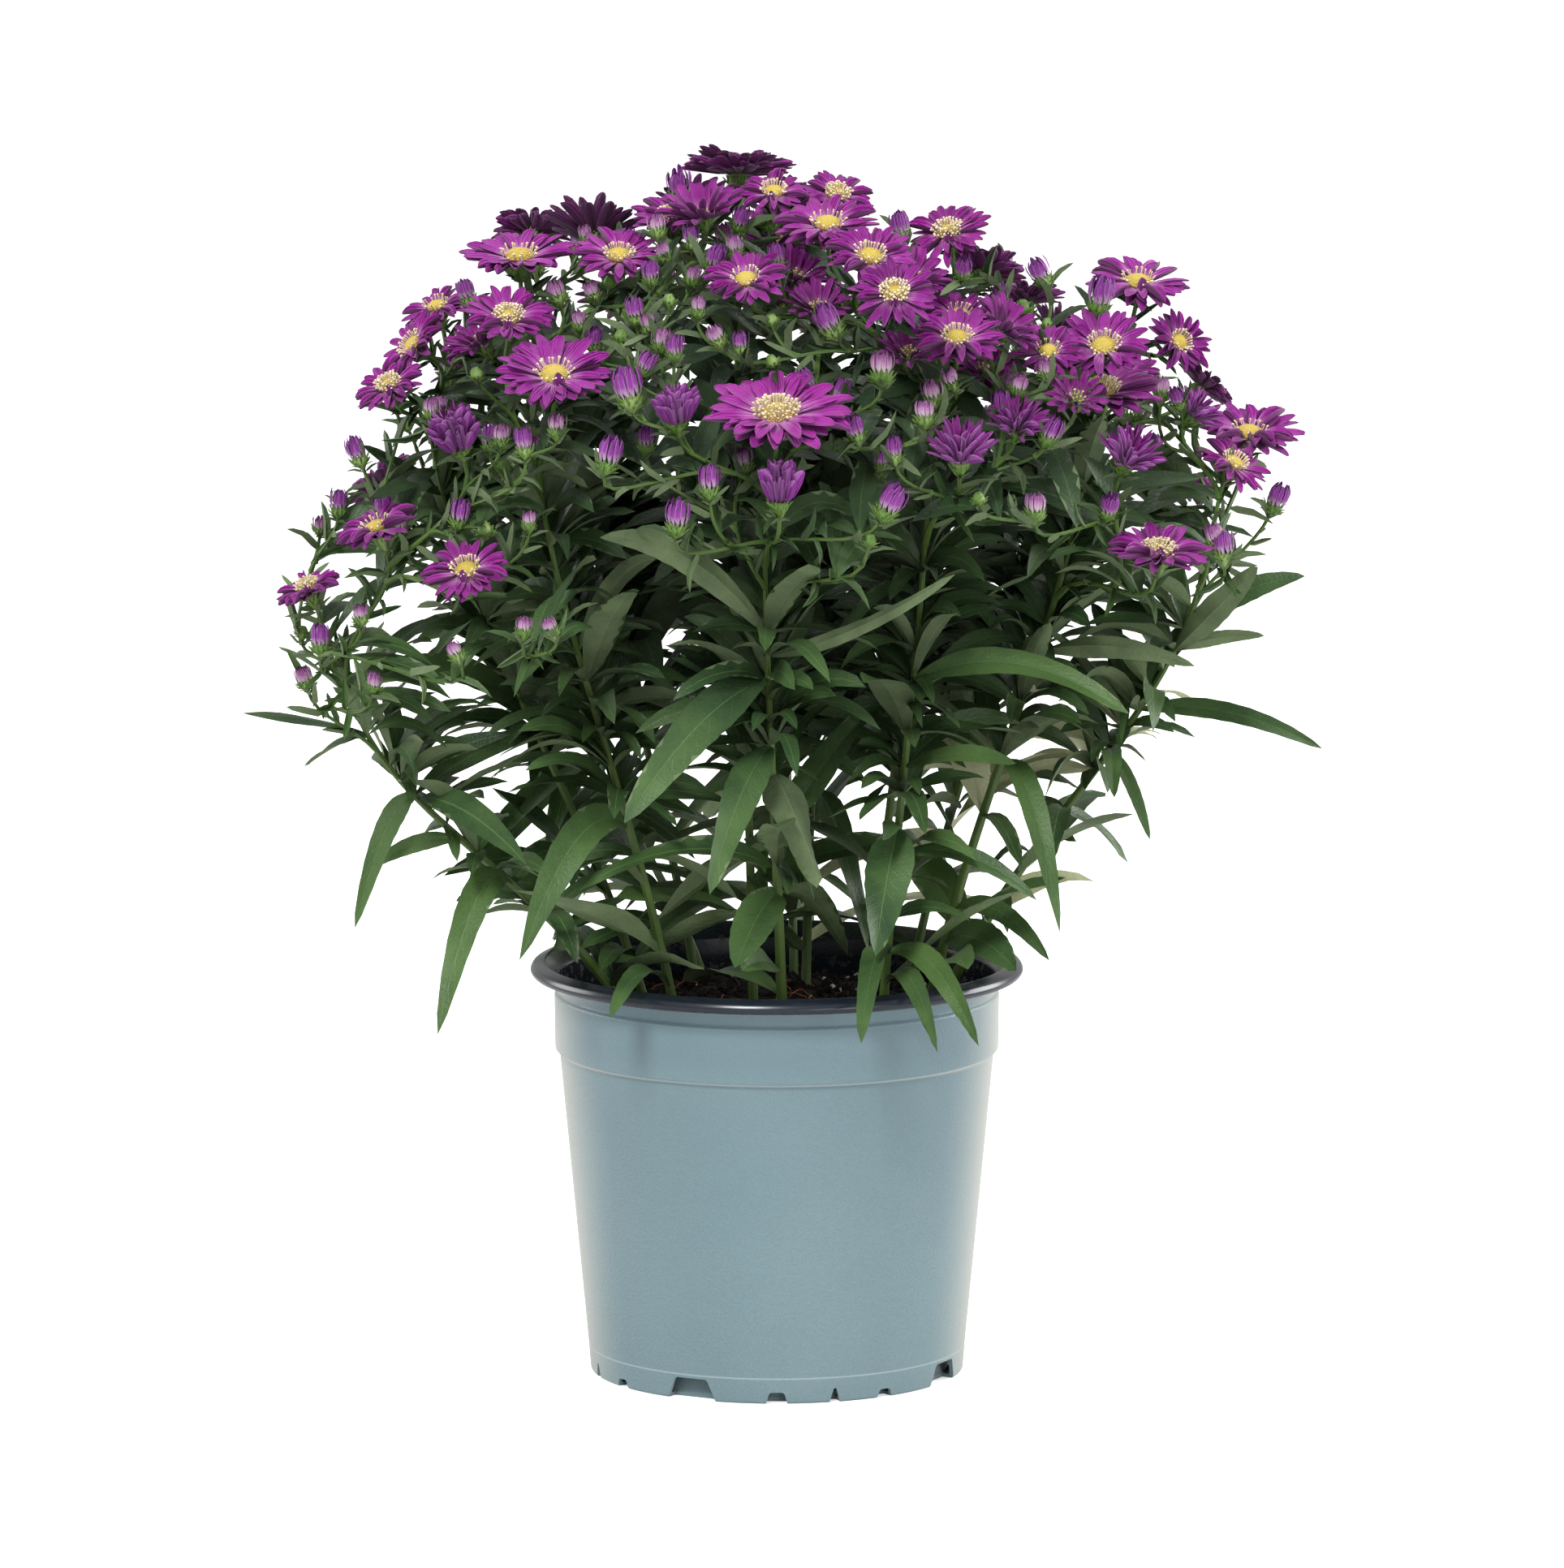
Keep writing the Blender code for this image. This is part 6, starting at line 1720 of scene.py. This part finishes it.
tubeSizes = {"stemSides": 12, "branchSides": 8, "stemShare": 0.78, "stalk": 0.78, "budStalk": 0.6,
             "swell": (1.7, 1.3, 1.1), "bractLength": 13.0, "bractWidth": 3.2, "bractSpacing": 5.6}


def addTube(bag, course, radii, sides, tone):
    bag.add(tubePoints(course, radii, sides), tubeForm(len(course), sides, 0.1), finishes["stem"], tone)


def curveOf(courses):
    curve = bpy.data.curves.new("courses", "CURVE")
    curve.dimensions = "3D"
    for course in courses:
        spline = curve.splines.new("POLY")
        spline.points.add(len(course) - 1)
        for point, place in zip(spline.points, course):
            point.co = (*place, 1.0)
    return curve


def addMainStem(bag, stem, axis):
    course = stem["fine"]
    thick = stem["thick"] * tubeSizes["stemShare"]
    radii = [thick * (1.0 - 0.6 * step / (len(course) - 1)) for step in range(len(course))]
    course = [stem["root"]] + course + [course[-1] + axis * 3 * mm, course[-1] + axis * stemSizes["tip"] * mm]
    radii = [thick] + radii + [radii[-1] * 0.8, branchSizes["flowerRadius"] * mm * 0.5]
    addTube(bag, course, radii, tubeSizes["stemSides"], 0.6)


def addBranch(bag, branch, draw):
    course = plan["fineRails"][branch["name"]]
    thin = tubeSizes["budStalk" if branch["kind"] == "bud" else "stalk"] * mm
    swell = [*tubeSizes["swell"], *[1.0] * len(course)][:len(course)]
    end = branch["end"] + branch["axis"] * 0.5 * mm
    addTube(bag, course + [end], [thin * share for share in swell] + [thin], tubeSizes["branchSides"], 0.15)
    stand = uprightFrame(branch["end"], branch["axis"])
    seed, number = draw.randint(1, 9999), int(branch["name"].split()[-1])
    if branch["kind"] == "bloom":
        addCup(bag, stand, branch["size"] / mm, seed)
        addRuff(bag, stand, 0.8, -2.0, seed, 5, 8.0)
    elif branch["kind"] == "opening":
        addOpening(bag, stand, branch["size"], seed, number)
    else:
        addBud(bag, stand, branch["size"], budKind(number), seed)
    return course


def makeLeafyStem(index, stem):
    bag, draw = Bag(f"leafyStem{index + 1:02d}"), random.Random(100 + index)
    course = stem["fine"]
    axis = (course[-1] - course[-3]).normalized()
    addMainStem(bag, stem, axis)
    tops = [addBranch(bag, branch, draw) for branch in plan["branches"] if branch["node"] == stem["node"]]
    for leaf in plan["leaves"]:
        if plan["owner"][leaf["rail"]] == stem["node"]:
            addLeaf(bag, leaf, draw)
    length = tubeSizes["bractLength"] * mm
    if tops:
        mesh = grow(bractTree, "bract", "leaf", curveOf(tops), length=length,
                    width=tubeSizes["bractWidth"] * mm, spacing=tubeSizes["bractSpacing"] * mm,
                    seed=float(index + 1))
        bag.addMesh(mesh, tone=0.2)
    tip = uprightFrame(course[-1] + axis * 4 * mm, axis)
    addWhorl(bag, tip, "bract", "leaf", 7, index + 1, radius=0.6 * mm, lift=0.9, liftSpread=0.3, length=length,
             lengthSpread=0.3, width=3.0 * mm)
    return bag.build()


def roundedSection(section, radius, steps=4):
    # softens the bends of a closed section, each by no more than its sides allow
    points = [Vector(point) for point in section]
    soft = []
    for index, corner in enumerate(points):
        before, after = points[index - 1], points[(index + 1) % len(points)]
        if corner.x < 1e-6:
            soft.append(corner)
            continue
        cut = min(radius, (corner - before).length * 0.4, (after - corner).length * 0.4)
        first, last = (corner + (other - corner).normalized() * cut for other in (before, after))
        for step in range(steps + 1):
            t = step / steps
            soft.append(first * (1 - t) ** 2 + corner * 2 * t * (1 - t) + last * t * t)
    return [tuple(point) for point in soft]


def notchCutter(low, top, high, matrix):
    # a block, wider below than above, with its upper edges bevelled
    shape = bmesh.new()
    bmesh.ops.create_cube(shape, size=1.0)
    for vertex in shape.verts:
        x, y, z = vertex.co
        width = low if z < 0 else top
        vertex.co = Vector((x * width, y * pot["notchDepth"], (z + 0.5) * high)) * mm
    upper = [edge for edge in shape.edges if all(v.co.z > 0.5 * high * mm for v in edge.verts)
             and abs(edge.verts[0].co.y - edge.verts[1].co.y) > mm]
    bmesh.ops.bevel(shape, geom=upper, offset=min(top, 2.2) * 0.4 * mm, segments=3, profile=0.5, affect="EDGES")
    shape.transform(matrix)
    return shape


def drainCutter(matrix):
    shape = bmesh.new()
    bmesh.ops.create_cone(shape, cap_ends=True, segments=24, radius1=pot["drainRadius"] * mm,
                          radius2=pot["drainRadius"] * mm, depth=pot["wall"] * 5 * mm)
    shape.transform(matrix)
    return shape


def potCutters():
    cutters = []
    for quarter in range(4):
        for turn, width, top, high in pot["notches"]:
            angle = math.radians(pot["firstNotchTurn"] + 90 * quarter + turn)
            place = Matrix.Rotation(angle, 4, "Z") @ Matrix.Translation((0, -pot["footRadius"] * mm, -mm))
            cutters.append(notchCutter(width, top, high + 1.0, place))
    for hole in range(pot["drainHoles"]):
        place = Matrix.Translation((pot["drainRing"] * mm, 0, (pot["floorHeight"] + pot["wall"] * 0.5) * mm))
        cutters.append(drainCutter(Matrix.Rotation(2 * math.pi * hole / pot["drainHoles"], 4, "Z") @ place))
    return cutters


def isInside(face):
    # whether a face of the pot belongs to the dark rim or inside
    middle, normal = face.center / mm, face.normal
    reach = middle.xy.length
    outward = normal.xy.dot(middle.xy.normalized()) if reach > 0.01 else 0.0
    onFloor = normal.z > 0.5 and reach < pot["creaseRadius"] - 2 and middle.z > pot["floorHeight"] + 0.2
    onWall = outward < -0.2 and middle.z > pot["floorHeight"] + 2.2
    return middle.z > pot["rimHeight"] - 5.4 or onWall or onFloor


def makePot():
    outside, inside = potProfile()
    section = roundedSection(outside + inside, 0.9)
    section = [(radius * mm, height * mm) for radius, height in section + section[:1]]
    points, (loops, sizes, _, _) = turnedShape(section, pot["turnSteps"])
    starts = np.cumsum(sizes) - sizes
    mesh = bpy.data.meshes.new("nurseryPot")
    faces = [tuple(loops[a:a + n]) for a, n in zip(starts, sizes)]
    mesh.from_pydata([tuple(point) for point in points], [], faces)
    shape = bmesh.new()
    shape.from_mesh(mesh)
    bmesh.ops.remove_doubles(shape, verts=shape.verts, dist=1e-6)
    bmesh.ops.recalc_face_normals(shape, faces=shape.faces)
    shape.to_mesh(mesh)
    shape.free()
    piece = showMesh("nurseryPot", mesh)
    group = bpy.data.collections.new("cutters")
    for shape in potCutters():
        cutter = bpy.data.objects.new("cutter", bpy.data.meshes.new("cutter"))
        shape.to_mesh(cutter.data)
        shape.free()
        group.objects.link(cutter)
    cut = piece.modifiers.new("Notches", "BOOLEAN")
    cut.operand_type, cut.collection, cut.solver = "COLLECTION", group, "EXACT"
    bpy.context.view_layer.update()
    depsgraph = bpy.context.evaluated_depsgraph_get()
    result = bpy.data.meshes.new_from_object(piece.evaluated_get(depsgraph), depsgraph=depsgraph)
    piece.modifiers.clear()
    piece.data = result
    for cutter in list(group.objects):
        bpy.data.objects.remove(cutter)
    result.materials.clear()
    for name in ("potOutside", "potInside"):
        result.materials.append(finishes[name])
    for face in result.polygons:
        face.material_index = int(isInside(face))
    result.shade_smooth()
    result.set_sharp_from_angle(angle=math.radians(40))
    return piece


# The soil's surface: a low mound with two sizes of bumps. Strewn on it: density, size, sink, item,
# choices, finish and seed. Then the roots.
soilLook = {"mound": 1.4, "fall": 3.4, "reach": 73.0, "fineBump": 0.8,
            "strewn": ((42000, 2.8, 0.2, "lump", 4.0, "soil", 1), (60000, 1.7, 0.0, "lump", 4.0, "soil", 2),
                       (22000, 4.0, 0.0, "chip", 3.0, "soil", 3), (2600, 2.2, -0.3, "lump", 4.0, "perlite", 4)),
            "roots": 26, "rootReach": 62, "rootPoints": 9, "rootStep": 1.6, "rootRadius": 0.16, "seed": 8}


def soilTop(x, y):
    far = math.hypot(x, y) / soilLook["reach"]
    bump = noise.noise(Vector((x * 0.07, y * 0.07, 0.3))) * soil["bump"]
    bump += noise.noise(Vector((x * 0.3, y * 0.3, 5.0))) * soilLook["fineBump"]
    return soil["top"] + soilLook["mound"] - soilLook["fall"] * min(far, 1.0) ** 3 + bump


def addRoots(bag):
    draw, count = random.Random(soilLook["seed"]), soilLook["rootPoints"]
    for _ in range(soilLook["roots"]):
        x, y = draw.uniform(-60, 60), draw.uniform(-60, 60)
        if math.hypot(x, y) > soilLook["rootReach"]:
            continue
        heading, course = draw.uniform(0, 6.28), []
        for step in range(count):
            heading += draw.uniform(-0.5, 0.5)
            x += soilLook["rootStep"] * math.cos(heading)
            y += soilLook["rootStep"] * math.sin(heading)
            course.append(Vector((x, y, soilTop(x, y) + 0.6 + 1.4 * math.sin(step * 0.5))) * mm)
        points = tubePoints(course, [soilLook["rootRadius"] * mm] * count, 5)
        bag.add(points, tubeForm(count, 5), finishes["root"], draw.random())


def makeSoil():
    bag = Bag("pottingSoil")
    rings, spokes = soil["rings"], soil["spokes"]
    widest = pot["bodyTopRadius"] - pot["wall"] - soil["sideGap"]
    foot, floor = pot["creaseRadius"] - pot["wall"] - soil["sideGap"] - 0.3, pot["floorHeight"] + pot["wall"]
    floor += soil["floorGap"]
    # the surface, then the side and the foot of the plug inside the pot
    circles = [(widest * ring / rings, None) for ring in range(1, rings + 1)]
    circles += [(widest - 0.1, pot["collarFoot"] - 2), (foot, floor + 1.2), (foot - 1.0, floor)]
    points = [(0, 0, soilTop(0, 0))]
    for reach, height in circles:
        for spoke in range(spokes):
            turn = 2 * math.pi * spoke / spokes
            x, y = reach * math.cos(turn), reach * math.sin(turn)
            points.append((x, y, soilTop(x, y) if height is None else height))
    faces = [(0, 1 + spoke, 1 + (spoke + 1) % spokes) for spoke in range(spokes)]
    for ring in range(rings + 2):
        for spoke in range(spokes):
            a, b = 1 + ring * spokes + spoke, 1 + ring * spokes + (spoke + 1) % spokes
            faces.append((a, a + spokes, b + spokes, b))
    faces.append(tuple(range(1 + (rings + 2) * spokes, 1 + (rings + 3) * spokes))[::-1])
    bag.add(np.array(points) * mm, formOf(faces), finishes["soil"], 0.0)
    top = bpy.data.meshes.new("soilTop")
    upper = 1 + spokes * (rings - 1)
    top.from_pydata([tuple(Vector(point) * mm) for point in points[:upper]], [],
                    [face for face in faces[:-1] if max(face) < upper])
    for density, size, sink, kind, choices, finish, seed in soilLook["strewn"]:
        bag.addMesh(grow(crumbTree, kind, finish, top.copy(), choices=choices, density=float(density),
                         size=size * mm, sink=sink * mm, seed=seed))
    addRoots(bag)
    return bag.build()


def finishPiece(piece, node):
    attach(piece, "root")
    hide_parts(node)


def tellTriangles(start):
    counts = [count for name, count in madeTriangles.items() if name.startswith(start)]
    print(start, "pieces:", len(counts), "triangles:", sum(counts), "most in one:", max(counts))


finishPiece(makePot(), "pot")
finishPiece(makeSoil(), "potting_mix")
print("pot and soil made")
for index, stem in enumerate(plan["stems"]):
    finishPiece(makeLeafyStem(index, stem), stem["node"])
tellTriangles("leafyStem")
for number, bloom in enumerate(plan["blooms"]):
    finishPiece(makeBloom(number + 1, bloom), f"bloom_{number + 1:02d}")
tellTriangles("flowerHead")
for group in items.values():
    for item in list(group.objects):
        bpy.data.objects.remove(item)

# The studio, in metres. A lamp has its place, what it aims at, its width and its power.
studio = {"cameraPlace": (0.0018, -3.951, 0.829), "aim": (0.0018, 0.0, 0.2037), "lens": 267.5, "sensor": 36.0,
          "world": 0.55, "floorRadius": 14.0, "floorGlow": 0.55, "bounce": 0.6}
lamps = {"key": ((-0.7, -2.2, 2.5), (0, 0, 0.22), 0.9, 74), "fill": ((1.6, -2.6, 0.7), (0, 0, 0.2), 1.8, 24),
         "left": ((-2.2, 1.0, 0.9), (0, 0, 0.2), 1.4, 26), "right": ((2.2, 1.0, 0.9), (0, 0, 0.2), 1.4, 42),
         "top": ((0.2, 0.4, 2.6), (0, 0, 0.3), 1.4, 26)}


def makeFloor():
    mesh = bpy.data.meshes.new("studioFloor")
    shape = bmesh.new()
    bmesh.ops.create_circle(shape, cap_ends=True, segments=96, radius=studio["floorRadius"])
    shape.to_mesh(mesh)
    shape.free()
    finish = Finish("studioFloor", 0.7, 0.2)
    finish.setSurface("Base Color", finish.mottle("floor", "floorLight", 3.0)[0])
    finish.setSurface("Emission Color", colours["white"])
    finish.setSurface("Emission Strength", studio["floorGlow"])
    # the floor looks near white, and throws little light back up
    dim = finish.value("ShaderNodeBsdfDiffuse", {0: (studio["bounce"],) * 3 + (1.0,)})
    seen = finish.value("ShaderNodeLightPath", output="Is Camera Ray")
    surface = Value(finish, finish.tree.nodes["Principled BSDF"].outputs[0])
    both = finish.value("ShaderNodeMixShader", {0: seen, 1: dim, 2: surface})
    finish.fill(finish.tree.nodes["Material Output"].inputs["Surface"], both)
    mesh.materials.append(finish.material)
    floor = showMesh("studioFloor", mesh)


def standAt(name, data, place, aim):
    # puts a lamp or the camera at its place, turned to what it aims at
    thing = bpy.data.objects.new(name, data)
    thing.location = place
    thing.rotation_euler = (Vector(aim) - Vector(place)).to_track_quat("-Z", "Y").to_euler()
    bpy.context.scene.collection.objects.link(thing)
    return thing


def makeStage():
    makeFloor()
    scene = bpy.context.scene
    scene.world = bpy.data.worlds.new("studio")
    scene.world.use_nodes = True
    glow = scene.world.node_tree.nodes["Background"].inputs
    glow[0].default_value, glow[1].default_value = colours["white"], studio["world"]
    scene.view_settings.view_transform = "Standard"
    for name, (place, aim, size, power) in lamps.items():
        light = bpy.data.lights.new(name, "AREA")
        light.shape, light.size, light.energy = "DISK", size, power
        standAt(name, light, place, aim)
    camera = bpy.data.cameras.new("camera")
    camera.lens, camera.sensor_width = studio["lens"], studio["sensor"]
    camera.dof.use_dof = False
    scene.camera = standAt("camera", camera, studio["cameraPlace"], studio["aim"])


makeStage()
print("stage made")
